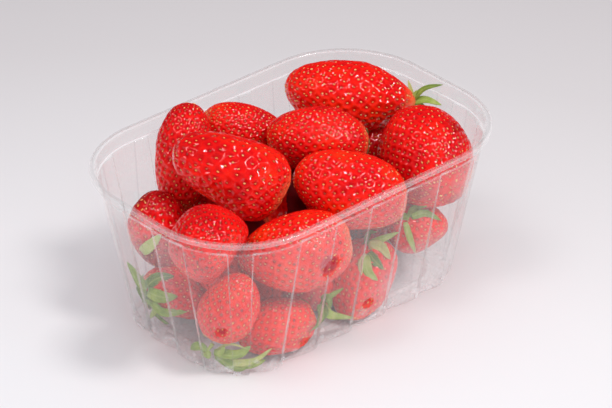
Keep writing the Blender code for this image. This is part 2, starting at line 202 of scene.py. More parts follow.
# Leaves that show: berry, three points from stalk to tip, width, and tone
# (0 dark green, 0.5 fresh green, 1 pale straw).
LEAVES = (
    ("b15", (-70.5, 24.9, 39.6), (-67.7, 21.8, 43.7), (-62.7, 19.7, 48.5), 5.5, 0.75),
    ("b15", (-74.3, 17.4, 26.3), (-70.6, 13.8, 30.8), (-65.3, 8.6, 32.1), 5.7, 0.30),
    ("b15", (-74.9, 16.0, 24.0), (-71.9, 8.9, 23.4), (-67.2, 3.8, 24.3), 6.0, 0.55),
    ("b15", (-75.9, 14.9, 21.6), (-74.1, 6.4, 17.9), (-66.7, -1.7, 18.1), 5.5, 0.50),
    ("b15", (-74.8, 16.8, 25.1), (-78.3, 18.8, 28.4), (-79.1, 25.4, 37.6), 7.8, 0.40),
    ("b15", (-75.1, 16.5, 24.4), (-78.6, 17.4, 20.5), (-79.2, 21.6, 25.3), 5.5, 0.20),
    ("b15", (-75.8, 14.3, 20.8), (-78.1, 10.2, 17.8), (-76.6, 15.3, 9.7), 3.9, 0.65),
    ("b15", (-77.0, 10.2, 14.6), (-76.9, 5.4, 13.6), (-74.7, 1.6, 13.4), 2.1, 0.20),
    ("b11", (-73.0, -18.5, 10.2), (-72.0, -12.5, 7.0), (-70.4, -14.1, 4.8), 2.4, 0.95),
    ("b11", (-75.8, -24.3, 11.6), (-76.9, -18.6, 11.3), (-76.2, -12.5, 6.2), 4.8, 0.45),
    ("b11", (-74.8, -25.2, 11.6), (-75.4, -23.7, 7.8), (-76.4, -20.1, 9.7), 3.4, 0.60),
    ("b11", (-72.6, -27.5, 11.2), (-67.1, -36.3, 11.5), (-61.0, -39.7, 15.9), 5.6, 0.50),
    ("b11", (-71.5, -27.6, 12.4), (-67.2, -32.4, 16.1), (-62.5, -39.3, 14.7), 1.3, 0.85),
    ("b11", (-73.4, -28.4, 9.3), (-67.3, -36.4, 3.5), (-62.1, -40.8, 5.0), 5.2, 0.45),
    ("b11", (-72.4, -28.7, 10.0), (-71.4, -31.1, 13.0), (-69.7, -31.8, 15.9), 3.0, 0.60),
    ("b11", (-68.0, -31.0, 5.5), (-60.0, -41.0, 7.0), (-52.3, -45.5, 12.7), 3.6, 0.75),
    ("b11", (-67.0, -32.0, 4.8), (-60.5, -41.0, 4.6), (-54.8, -44.2, 6.6), 4.0, 0.55),
    ("b12", (-18.8, -40.0, 20.1), (-15.0, -43.4, 25.0), (-10.4, -46.4, 28.3), 2.6, 0.40),
    ("b12", (-18.5, -40.3, 20.1), (-16.7, -46.0, 15.3), (-0.6, -44.8, 5.6), 4.4, 0.65),
    ("b12", (-18.8, -40.0, 20.1), (-21.7, -44.7, 16.0), (-27.5, -45.6, 9.7), 5.2, 0.30),
    ("b12", (-17.8, -39.6, 21.7), (-16.9, -42.7, 23.8), (-17.8, -46.0, 20.1), 4.0, 0.40),
    ("b13", (25.4, -23.3, 26.1), (30.0, -28.6, 29.4), (36.5, -33.3, 32.7), 3.6, 0.60),
    ("b13", (25.6, -23.8, 25.7), (28.0, -29.5, 26.2), (28.9, -35.4, 22.0), 6.0, 0.85),
    ("b13", (24.5, -25.1, 22.9), (24.0, -30.4, 20.6), (24.9, -35.0, 18.0), 4.6, 0.30),
    ("b13", (22.9, -24.7, 21.7), (19.7, -29.6, 17.1), (21.0, -35.1, 13.6), 4.8, 0.65),
    ("b13", (24.9, -22.5, 26.5), (26.5, -23.5, 31.8), (28.8, -26.4, 32.7), 2.4, 0.50),
    ("b13", (23.5, -24.8, 22.1), (18.5, -26.1, 19.8), (16.3, -29.2, 15.6), 3.0, 0.95),
    ("b14", (48.0, -24.7, 29.5), (45.6, -30.7, 24.4), (44.6, -35.9, 18.9), 3.2, 0.65),
    ("b14", (50.0, -25.2, 31.1), (46.4, -24.2, 33.2), (41.7, -23.0, 31.3), 3.4, 0.50),
    ("b14", (50.9, -25.6, 31.5), (54.9, -30.8, 34.4), (58.8, -37.8, 32.1), 3.8, 0.50),
    ("b14", (50.3, -24.8, 31.9), (52.3, -26.8, 36.4), (56.2, -30.8, 37.8), 3.4, 0.55),
    ("b01", (81.4, 6.0, 69.4), (82.1, 7.5, 74.0), (82.3, 9.9, 79.0), 2.2, 0.85),
    ("b01", (81.4, 6.0, 69.4), (85.4, 1.8, 76.4), (89.1, -6.8, 80.8), 2.9, 0.45),
    ("b01", (81.3, 5.8, 69.0), (84.5, -0.5, 71.5), (87.2, -8.3, 71.0), 4.0, 0.62),
    ("b01", (81.1, 6.3, 69.4), (80.4, 8.4, 73.2), (78.8, 10.3, 75.7), 2.2, 0.25),
    ("b01", (81.6, 5.5, 69.0), (83.2, 0.9, 67.1), (83.4, -3.2, 64.3), 4.0, 0.40),
    ("b01", (81.1, 5.6, 68.6), (82.3, 5.6, 72.0), (83.8, 5.2, 74.9), 2.2, 0.70),
)

# where a berry lies wet against the sheet: middle and reach
PATCHES = (
    (-24.3, -54.1, 48.7, 6.2), (-75.1, -35.6, 26.1, 3.6),
    (-33.9, -46.6, 8.8, 3.6), (5.1, -47.3, 12.6, 3.4),
)


# --------------------------------------------------------------------------
# mesh helpers
# --------------------------------------------------------------------------
def make_object(name, co, faces, mat, values=None, smooth=True):
    """co in millimetres, faces a list of index arrays, values point floats."""
    me = bpy.data.meshes.new(name)
    flat = []
    for block in faces:
        flat += [tuple(int(i) for i in f) for f in block]
    me.from_pydata([tuple(p) for p in np.asarray(co) * MM], [], flat)
    for key, arr in (values or {}).items():
        layer = me.attributes.new(key, 'FLOAT', 'POINT')
        layer.data.foreach_set('value', np.asarray(arr, np.float32))
    me.validate()
    me.update()
    if smooth:
        me.shade_smooth()
    me.materials.append(mat)
    ob = bpy.data.objects.new(name, me)
    bpy.context.scene.collection.objects.link(ob)
    return ob


def vertex_normals(co, quads):
    a, b, c, d = (co[quads[:, k]] for k in range(4))
    n = np.cross(c - a, d - b)
    out = np.zeros_like(co)
    for k in range(4):
        np.add.at(out, quads[:, k], n)
    return out / np.maximum(np.linalg.norm(out, axis=1, keepdims=True), 1e-9)


_spheres = {}


def cube_sphere(n):
    """Directions and outward quads of a sphere of 6 n by n patches."""
    if n in _spheres:
        return _spheres[n]
    g = np.tan(np.linspace(-1, 1, n + 1) * math.pi / 4)
    a, b = np.meshgrid(g, g, indexing='ij')
    one = np.ones_like(a)
    sides = [(a, b, one), (b, a, -one), (one, a, b), (-one, b, a),
             (b, one, a), (a, -one, b)]
    pts, quads = [], []
    idx = np.arange((n + 1) ** 2).reshape(n + 1, n + 1)
    for k, s in enumerate(sides):
        p = np.stack([q.ravel() for q in s], 1)
        pts.append(p / np.linalg.norm(p, axis=1, keepdims=True))
        quads.append(np.stack([idx[:-1, :-1].ravel(), idx[1:, :-1].ravel(),
                               idx[1:, 1:].ravel(), idx[:-1, 1:].ravel()], 1)
                     + k * (n + 1) ** 2)
    pts, quads = np.concatenate(pts), np.concatenate(quads)
    key = np.round(pts, 6) + 0.0
    _, first, back = np.unique(key, axis=0, return_index=True,
                               return_inverse=True)
    back = np.asarray(back).reshape(-1)
    pts, quads = pts[first], back[quads]
    p = pts[quads]
    n_face = np.cross(p[:, 1] - p[:, 0], p[:, 2] - p[:, 0])
    flip = (n_face * p.mean(1)).sum(1) < 0
    quads[flip] = quads[flip][:, ::-1]
    _spheres[n] = (pts, quads)
    return _spheres[n]


# --------------------------------------------------------------------------
# plan of the punnet
# --------------------------------------------------------------------------
def plan_points(s, offset):
    s = np.mod(s, 2 * HALF)
    turned = np.where(s >= HALF, -1.0, 1.0)
    s = np.where(s >= HALF, s - HALF, s)
    c1, c2, c3 = 2 * CORE_X, 2 * CORE_X + ARC, 2 * CORE_X + ARC + 2 * CORE_Y
    bx = np.where(s <= c1, s - CORE_X, CORE_X)
    by = np.where(s <= c2, -CORE_Y, np.where(s <= c3, s - c2 - CORE_Y, CORE_Y))
    ang = np.where(s <= c1, -math.pi / 2,
                   np.where(s <= c2, -math.pi / 2 + (s - c1) / REF_OFFSET,
                            np.where(s <= c3, 0.0, (s - c3) / REF_OFFSET)))
    return (turned * (bx + offset * np.cos(ang)),
            turned * (by + offset * np.sin(ang)))


def wall_offset(z):
    return BASE_OFFSET + DRAUGHT * z


def flute_depth(z):
    t = np.clip(z / FLUTE_TOP_Z, 0, 1)
    return FLUTE_DEPTH_BASE + (FLUTE_DEPTH_TOP - FLUTE_DEPTH_BASE) * t


def plan_offset(p):
    """How far points lie out from the core rectangle of the plan."""
    qx = np.abs(p[:, 0]) - CORE_X
    qy = np.abs(p[:, 1]) - CORE_Y
    out = np.hypot(np.maximum(qx, 0), np.maximum(qy, 0))
    return out + np.minimum(np.maximum(qx, qy), 0)


def keep_inside(p, gap, floor=1.35):
    """Presses points back to the inner side of the sheet and up off the base."""
    p = p.copy()
    p[:, 2] = np.maximum(p[:, 2], floor)
    z = p[:, 2]
    low = wall_offset(z) - flute_depth(z)
    band = BAND_OFFSET + 0 * z
    limit = np.where(z < BAND_Z, low, band) - SHEET - gap
    limit = np.where(z > HEIGHT + 0.5, 60.0, limit)
    off = plan_offset(p)
    over = np.maximum(off - limit, 0)
    near = np.stack([np.clip(p[:, 0], -CORE_X, CORE_X),
                     np.clip(p[:, 1], -CORE_Y, CORE_Y)], 1)
    way = p[:, :2] - near
    way /= np.maximum(np.linalg.norm(way, axis=1, keepdims=True), 1e-6)
    p[:, :2] -= way * over[:, None]
    return p, over


# --------------------------------------------------------------------------
# materials
# --------------------------------------------------------------------------
def new_material(name):
    mat = bpy.data.materials.new(name)
    mat.use_nodes = True
    nt = mat.node_tree
    nt.nodes.clear()
    out = nt.nodes.new('ShaderNodeOutputMaterial')
    return mat, nt, out


def node(nt, kind, **props):
    n = nt.nodes.new(kind)
    for k, v in props.items():
        setattr(n, k, v)
    return n


def attribute(nt, name):
    return node(nt, 'ShaderNodeAttribute', attribute_name=name).outputs['Fac']


def math_node(nt, op, a, b=None, c=None, clamp=False):
    n = node(nt, 'ShaderNodeMath', operation=op, use_clamp=clamp)
    for k, v in enumerate((a, b, c)):
        if v is None:
            continue
        if isinstance(v, (int, float)):
            n.inputs[k].default_value = v
        else:
            nt.links.new(v, n.inputs[k])
    return n.outputs[0]


def mix_colour(nt, fac, a, b, blend='MIX'):
    n = node(nt, 'ShaderNodeMix', data_type='RGBA', blend_type=blend)
    if isinstance(fac, (int, float)):
        n.inputs[0].default_value = fac
    else:
        nt.links.new(fac, n.inputs[0])
    for k, v in ((6, a), (7, b)):
        if isinstance(v, tuple):
            n.inputs[k].default_value = (*v, 1.0)
        else:
            nt.links.new(v, n.inputs[k])
    return n.outputs[2]


def ramp(nt, fac, stops):
    n = node(nt, 'ShaderNodeValToRGB')
    el = n.color_ramp.elements
    while len(el) < len(stops):
        el.new(0.5)
    for e, (pos, col) in zip(el, stops):
        e.position = pos
        e.color = (*col, 1.0) if len(col) == 3 else col
    nt.links.new(fac, n.inputs[0])
    return n.outputs[0]


def noise(nt, vec, scale, detail=3.0, rough=0.5):
    n = node(nt, 'ShaderNodeTexNoise')
    n.inputs['Scale'].default_value = scale
    n.inputs['Detail'].default_value = detail
    n.inputs['Roughness'].default_value = rough
    nt.links.new(vec, n.inputs['Vector'])
    return n.outputs['Fac']


def object_coords(nt):
    return node(nt, 'ShaderNodeTexCoord').outputs['Object']


def skin_material():
    """Ripe strawberry skin: reds that vary, painted shade deeper round the seeds,
    painted highlight on the crests between them, paler at the stalk, glossy
    with a fine grain."""
    mat, nt, out = new_material("strawberry_skin")
    co = object_coords(nt)
    pit, axis, tone = (attribute(nt, k) for k in ("pit", "axis", "tone"))
    broad = noise(nt, co, 70.0, 3.0)
    fine = noise(nt, co, 420.0, 4.0, 0.6)
    ripe = math_node(nt, 'ADD', math_node(nt, 'MULTIPLY', broad, 1.2),
                     math_node(nt, 'MULTIPLY', fine, 0.35))
    ripe = math_node(nt, 'ADD', ripe, math_node(nt, 'MULTIPLY', tone, 0.5))
    ripe = math_node(nt, 'SUBTRACT', ripe, 0.49, clamp=True)
    base = ramp(nt, ripe, [(0.0, (0.26, 0.0003, 0.003)), (0.25, (0.60, 0.0006, 0.005)),
                           (0.50, (0.80, 0.003, 0.004)),
                           (0.75, (0.92, 0.016, 0.003)),
                           (1.0, (0.96, 0.050, 0.003))])
    # painted highlight: the crests between the dimples are tinted a lighter orange, standing in for the
    # glints along the ridges
    crest = ramp(nt, pit, [(0.0, (1, 1, 1)), (0.10, (0.45, 0.45, 0.45)),
                           (0.22, (0, 0, 0)), (1.0, (0, 0, 0))])
    base = mix_colour(nt, math_node(nt, 'MULTIPLY', crest, 0.12), base,
                      (0.97, 0.035, 0.004))
    # painted shade: inside the dimples, round the seed, the flesh is painted darker and purer, standing
    # in for the shade in the hollows
    deep = ramp(nt, pit, [(0.0, (0, 0, 0)), (0.40, (0.12, 0.12, 0.12)),
                          (0.80, (0.7, 0.7, 0.7)), (1.0, (1, 1, 1))])
    base = mix_colour(nt, math_node(nt, 'MULTIPLY', deep, 0.90), base,
                      (0.19, 0.0002, 0.0012))
    # a paler collar under the leaves
    collar = ramp(nt, axis, [(0.0, (1, 1, 1)), (0.035, (0.55, 0.55, 0.55)),
                             (0.10, (0, 0, 0)), (1.0, (0, 0, 0))])
    collar = math_node(nt, 'MULTIPLY', collar,
                       math_node(nt, 'ADD', math_node(nt, 'MULTIPLY', broad, 0.8), 0.3))
    base = mix_colour(nt, collar, base, (0.86, 0.24, 0.09))
    # pressed patches go dark and wet
    press = attribute(nt, "press")
    base = mix_colour(nt, math_node(nt, 'MULTIPLY', press, 0.90), base,
                      (0.42, 0.004, 0.022))
    bsdf = node(nt, 'ShaderNodeBsdfPrincipled')
    nt.links.new(base, bsdf.inputs['Base Color'])
    bsdf.inputs['Subsurface Weight'].default_value = 0.22
    bsdf.inputs['Subsurface Radius'].default_value = (1.0, 0.18, 0.10)
    bsdf.inputs['Subsurface Scale'].default_value = 0.0013
    rough = math_node(nt, 'ADD', math_node(nt, 'MULTIPLY', fine, 0.10), 0.13)
    nt.links.new(rough, bsdf.inputs['Roughness'])
    bsdf.inputs['IOR'].default_value = 1.42
    bsdf.inputs['Specular IOR Level'].default_value = 0.12
    bsdf.inputs['Coat Weight'].default_value = 1.0
    bsdf.inputs['Coat Roughness'].default_value = 0.04
    bsdf.inputs['Coat IOR'].default_value = 1.5
    grain = noise(nt, co, 1500.0, 2.0)
    bump = node(nt, 'ShaderNodeBump')
    bump.inputs['Strength'].default_value = 0.10
    bump.inputs['Distance'].default_value = 0.0002
    nt.links.new(grain, bump.inputs['Height'])
    nt.links.new(bump.outputs[0], bsdf.inputs['Normal'])
    nt.links.new(bsdf.outputs[0], out.inputs['Surface'])
    return mat


def seed_material():
    mat, nt, out = new_material("seed_skin")
    tone, along = attribute(nt, "tone"), attribute(nt, "along")
    base = ramp(nt, tone, [(0.0, (0.34, 0.03, 0.010)), (0.35, (0.72, 0.14, 0.03)),
                           (0.7, (0.94, 0.34, 0.07)), (1.0, (0.95, 0.55, 0.20))])
    tip = ramp(nt, along, [(0.0, (0, 0, 0)), (0.72, (0, 0, 0)), (1.0, (1, 1, 1))])
    base = mix_colour(nt, math_node(nt, 'MULTIPLY', tip, 0.6), base,
                      (0.22, 0.05, 0.012))
    grain = noise(nt, object_coords(nt), 2600.0, 2.0)
    base = mix_colour(nt, math_node(nt, 'MULTIPLY', grain, 0.22), base,
                      (0.45, 0.14, 0.02))
    bsdf = node(nt, 'ShaderNodeBsdfPrincipled')
    nt.links.new(base, bsdf.inputs['Base Color'])
    rough = math_node(nt, 'ADD', math_node(nt, 'MULTIPLY', grain, 0.2), 0.25)
    nt.links.new(rough, bsdf.inputs['Roughness'])
    bsdf.inputs['Coat Weight'].default_value = 0.3
    bsdf.inputs['Coat Roughness'].default_value = 0.12
    nt.links.new(bsdf.outputs[0], out.inputs['Surface'])
    return mat


def leaf_material():
    mat, nt, out = new_material("calyx_leaf")
    co = object_coords(nt)
    tone, across, along = (attribute(nt, k) for k in ("tone", "across", "along"))
    blotch = noise(nt, co, 260.0, 4.0, 0.6)
    t = math_node(nt, 'ADD', tone, math_node(nt, 'MULTIPLY', blotch, 0.70))
    t = math_node(nt, 'SUBTRACT', t, 0.35, clamp=True)
    base = ramp(nt, t, [(0.0, (0.055, 0.110, 0.014)), (0.35, (0.150, 0.270, 0.024)),
                        (0.6, (0.34, 0.47, 0.055)), (0.85, (0.60, 0.62, 0.22)),
                        (1.0, (0.52, 0.40, 0.17))])
    # midrib and side veins
    rib = ramp(nt, math_node(nt, 'ABSOLUTE', across),
               [(0.0, (1, 1, 1)), (0.10, (0.5, 0.5, 0.5)), (0.22, (0, 0, 0))])
    wave = math_node(nt, 'SINE', math_node(nt, 'MULTIPLY', math_node(
        nt, 'SUBTRACT', along, math_node(nt, 'MULTIPLY', math_node(
            nt, 'ABSOLUTE', across), 0.22)), 58.0))
    vein = math_node(nt, 'MULTIPLY', math_node(nt, 'POWER', math_node(
        nt, 'ADD', math_node(nt, 'MULTIPLY', wave, 0.5), 0.5), 5.0), 0.4)
    lines = math_node(nt, 'MAXIMUM', rib, vein)
    base = mix_colour(nt, math_node(nt, 'MULTIPLY', lines, 0.55), base,
                      (0.55, 0.62, 0.20))
    edge = ramp(nt, math_node(nt, 'ABSOLUTE', across),
                [(0.0, (0, 0, 0)), (0.80, (0, 0, 0)), (1.0, (1, 1, 1))])
    base = mix_colour(nt, math_node(nt, 'MULTIPLY', edge, 0.3), base,
                      (0.34, 0.26, 0.08))
    bsdf = node(nt, 'ShaderNodeBsdfPrincipled')
    nt.links.new(base, bsdf.inputs['Base Color'])
    rough = math_node(nt, 'ADD', math_node(nt, 'MULTIPLY', blotch, 0.15), 0.42)
    nt.links.new(rough, bsdf.inputs['Roughness'])
    bsdf.inputs['Sheen Weight'].default_value = 0.15
    bump = node(nt, 'ShaderNodeBump')
    bump.inputs['Strength'].default_value = 0.35
    bump.inputs['Distance'].default_value = 0.0003
    nt.links.new(math_node(nt, 'ADD', math_node(nt, 'MULTIPLY', lines, -0.7),
                           math_node(nt, 'MULTIPLY', blotch, 0.5)),
                 bump.inputs['Height'])
    nt.links.new(bump.outputs[0], bsdf.inputs['Normal'])
    lit = node(nt, 'ShaderNodeBsdfTranslucent')
    nt.links.new(base, lit.inputs['Color'])
    mix = node(nt, 'ShaderNodeMixShader')
    mix.inputs[0].default_value = 0.22
    nt.links.new(bsdf.outputs[0], mix.inputs[1])
    nt.links.new(lit.outputs[0], mix.inputs[2])
    nt.links.new(mix.outputs[0], out.inputs['Surface'])
    return mat


def core_material():
    mat, nt, out = new_material("heap_shade")
    co = object_coords(nt)
    n = noise(nt, co, 160.0, 4.0)
    # painted shade: the core is a dark red far below the berries' own red, standing in for the shade
    # deep in the heap
    base = ramp(nt, n, [(0.3, (0.07, 0.0005, 0.002)), (0.7, (0.18, 0.0010, 0.005))])
    bsdf = node(nt, 'ShaderNodeBsdfPrincipled')
    nt.links.new(base, bsdf.inputs['Base Color'])
    nt.links.new(math_node(nt, 'ADD', math_node(nt, 'MULTIPLY', n, 0.2), 0.5),
                 bsdf.inputs['Roughness'])
    bsdf.inputs['Specular IOR Level'].default_value = 0.1
    nt.links.new(bsdf.outputs[0], out.inputs['Surface'])
    return mat


def sheet_material():
    """Clear sheet: nearly all light passes, the rest mirrors off each face,
    more at a slant; folds and rim get white haze, partly real and partly a
    painted highlight, the base and the low near end get painted light, and
    ramp ends painted dark lines."""
    mat, nt, out = new_material("clear_sheet")
    co = object_coords(nt)
    fold, painted_dark_line, rim = (attribute(nt, k) for k in ("fold", "painted_dark_line", "rim"))
    flow = noise(nt, co, 34.0, 3.0)
    speck = noise(nt, co, 700.0, 2.0)
    split = node(nt, 'ShaderNodeSeparateXYZ')
    nt.links.new(co, split.inputs[0])
    # the rolled rim lies in several layers, each one cleaner than the wall
    high = math_node(nt, 'MULTIPLY', math_node(
        nt, 'SUBTRACT', split.outputs['Z'], 0.0744), 1500.0, clamp=True)
    low = math_node(nt, 'SUBTRACT', 1.0, math_node(nt, 'MULTIPLY', high, 0.40))
    # wet patches, ragged at the edge
    rag = noise(nt, co, 420.0, 3.0)
    wet = None
    for x, y, z, r in PATCHES:
        d = node(nt, 'ShaderNodeVectorMath', operation='DISTANCE')
        nt.links.new(co, d.inputs[0])
        d.inputs[1].default_value = (x * MM, y * MM, z * MM)
        one = math_node(nt, 'SUBTRACT', 1.0, math_node(
            nt, 'DIVIDE', d.outputs['Value'], r * MM))
        wet = one if wet is None else math_node(nt, 'MAXIMUM', wet, one)
    wet = math_node(nt, 'ADD', wet, math_node(nt, 'MULTIPLY', math_node(
        nt, 'SUBTRACT', rag, 0.5), 1.1))
    wet = math_node(nt, 'MULTIPLY', wet, 9.0, clamp=True)
    dry = math_node(nt, 'SUBTRACT', 1.0, wet)
    # mirror share of one face
    facing = node(nt, 'ShaderNodeLayerWeight')
    facing.inputs['Blend'].default_value = 0.5
    slant = math_node(nt, 'POWER', facing.outputs['Facing'], 4.6)
    share = math_node(nt, 'ADD', math_node(nt, 'MULTIPLY', slant, 0.88), 0.05)
    share = math_node(nt, 'MULTIPLY', share, math_node(
        nt, 'ADD', math_node(nt, 'MULTIPLY', dry, 0.8), 0.2))
    # what a face mirrors away still lights the inside, so lamps pass freely
    ray = node(nt, 'ShaderNodeLightPath')
    lamp = math_node(nt, 'MAXIMUM', ray.outputs['Is Shadow Ray'],
                     ray.outputs['Is Diffuse Ray'])
    passing = math_node(nt, 'SUBTRACT', 1.0, math_node(nt, 'MULTIPLY', lamp, 0.93))
    share = math_node(nt, 'MULTIPLY', share, passing)
    share = math_node(nt, 'MULTIPLY', share, low)
    clear = node(nt, 'ShaderNodeBsdfTransparent')
    # painted shade: along the flute ramp ends less light passes, a dark line standing in for the
    # darkening that refraction gives there
    through = mix_colour(nt, painted_dark_line, (0.992, 0.990, 0.988), (0.93, 0.92, 0.925))
    nt.links.new(through, clear.inputs['Color'])
    gloss = node(nt, 'ShaderNodeBsdfGlossy')
    gloss.inputs['Color'].default_value = (1, 1, 1, 1)
    nt.links.new(math_node(nt, 'ADD', math_node(nt, 'MULTIPLY', speck, 0.03), 0.035),
                 gloss.inputs['Roughness'])
    bump = node(nt, 'ShaderNodeBump')
    bump.inputs['Strength'].default_value = 0.10
    bump.inputs['Distance'].default_value = 0.0011
    # the foot is crinkled where the sheet was drawn thin
    foot = math_node(nt, 'MULTIPLY', math_node(
        nt, 'SUBTRACT', 0.013, split.outputs['Z']), 110.0, clamp=True)
    crinkle = noise(nt, co, 210.0, 2.0, 0.6)
    nt.links.new(math_node(nt, 'ADD', flow, math_node(
        nt, 'MULTIPLY', math_node(nt, 'MULTIPLY', crinkle, foot), 1.6)),
        bump.inputs['Height'])
    nt.links.new(bump.outputs[0], gloss.inputs['Normal'])
    m1 = node(nt, 'ShaderNodeMixShader')
    nt.links.new(share, m1.inputs[0])
    nt.links.new(clear.outputs[0], m1.inputs[1])
    nt.links.new(gloss.outputs[0], m1.inputs[2])
    # a trace of real haze, with more white on the folds and along the rim edges that is painted
    # highlight, and on the base that is painted light
    haze = node(nt, 'ShaderNodeBsdfDiffuse')
    haze.inputs['Color'].default_value = (0.94, 0.90, 0.905, 1)
    streak = noise(nt, co, 95.0, 2.0)
    amount = math_node(nt, 'MULTIPLY', fold, math_node(
        nt, 'SUBTRACT', math_node(nt, 'MULTIPLY', streak, 0.62), 0.06))
    amount = math_node(nt, 'ADD', amount, math_node(nt, 'MULTIPLY', rim, 0.26))
    amount = math_node(nt, 'ADD', amount, math_node(
        nt, 'MULTIPLY', math_node(nt, 'MULTIPLY', speck, 0.045), low))
    milky = math_node(nt, 'MULTIPLY', math_node(
        nt, 'SUBTRACT', crinkle, 0.52), math_node(nt, 'MULTIPLY', foot, 3.0),
        clamp=True)
    amount = math_node(nt, 'ADD', amount, math_node(nt, 'MULTIPLY', milky, 0.5))
    # painted light: the near side of the empty end, low down, gets white haze to lighten the shade that
    # the berries cast there
    painted_light_zone = math_node(nt, 'MULTIPLY', math_node(
        nt, 'SUBTRACT', split.outputs['X'], -0.004), 34.0, clamp=True)
    for axis, a, b in (('Y', -0.030, -70.0), ('Z', 0.042, -45.0)):
        painted_light_zone = math_node(nt, 'MULTIPLY', painted_light_zone, math_node(
            nt, 'MULTIPLY', math_node(nt, 'SUBTRACT', split.outputs[axis], a), b,
            clamp=True))
    painted_light_haze = math_node(nt, 'ADD', math_node(nt, 'MULTIPLY', streak, 0.16), 0.07)
    amount = math_node(nt, 'ADD', amount, math_node(nt, 'MULTIPLY', painted_light_zone, painted_light_haze))
    amount = math_node(nt, 'MULTIPLY', amount, dry)
    amount = math_node(nt, 'MULTIPLY', amount, passing, clamp=True)
    m2 = node(nt, 'ShaderNodeMixShader')
    nt.links.new(amount, m2.inputs[0])
    nt.links.new(m1.outputs[0], m2.inputs[1])
    nt.links.new(haze.outputs[0], m2.inputs[2])
    nt.links.new(m2.outputs[0], out.inputs['Surface'])
    return mat


# --------------------------------------------------------------------------
# the tray
# --------------------------------------------------------------------------
def tray_stations():
    """(place at top, place at base, depth share, fold, painted dark line) round the plan."""
    marks = []
    for s_w, side, w_top, w_base in FLUTES:
        trio = []
        # the steep side, rounded at brink and foot
        for q, share, fold in ((-0.45, 0.0, 0.0), (-0.15, 0.03, 0.0),
                               (0.05, 0.16, 0.35), (0.25, 0.50, 1.0),
                               (0.45, 0.84, 0.35), (0.65, 0.97, 0.0),
                               (0.95, 1.0, 0.0)):
            trio.append((s_w + side * q, s_w + side * q, share, fold, 0.0))
        for f in (0.30, 0.60, 0.86, 0.93, 0.97, 1.0, 1.03, 1.07):
            x = 1.0 - f
            share = 0.5 * (x + math.sqrt(x * x + 0.0016))
            share = share if f < 1.05 else 0.0
            painted_dark_line = {0.97: 0.6, 1.0: 1.0, 1.03: 0.3}.get(f, 0.0)
            q_t, q_b = 0.95 + f * (w_top - 0.95), 0.95 + f * (w_base - 0.95)
            trio.append((s_w + side * q_t, s_w + side * q_b, share, 0.0, painted_dark_line))
        marks += trio if side > 0 else trio[::-1]
    marks = marks + [(a + HALF, b + HALF, *r) for a, b, *r in marks]
    out = []
    step = math.radians(4.0) * REF_OFFSET
    for i, m in enumerate(marks):
        nxt = marks[(i + 1) % len(marks)]
        a2, b2 = nxt[0], nxt[1]
        if i + 1 == len(marks):
            a2, b2 = a2 + 2 * HALF, b2 + 2 * HALF
        out.append(m)
        n = int(max(a2 - m[0], b2 - m[1]) / step)
        for k in range(1, n + 1):
            t = k / (n + 1)
            out.append((m[0] + (a2 - m[0]) * t, m[1] + (b2 - m[1]) * t,
                        *[p + (q - p) * t for p, q in zip(m[2:], nxt[2:])]))
    return np.array(out)


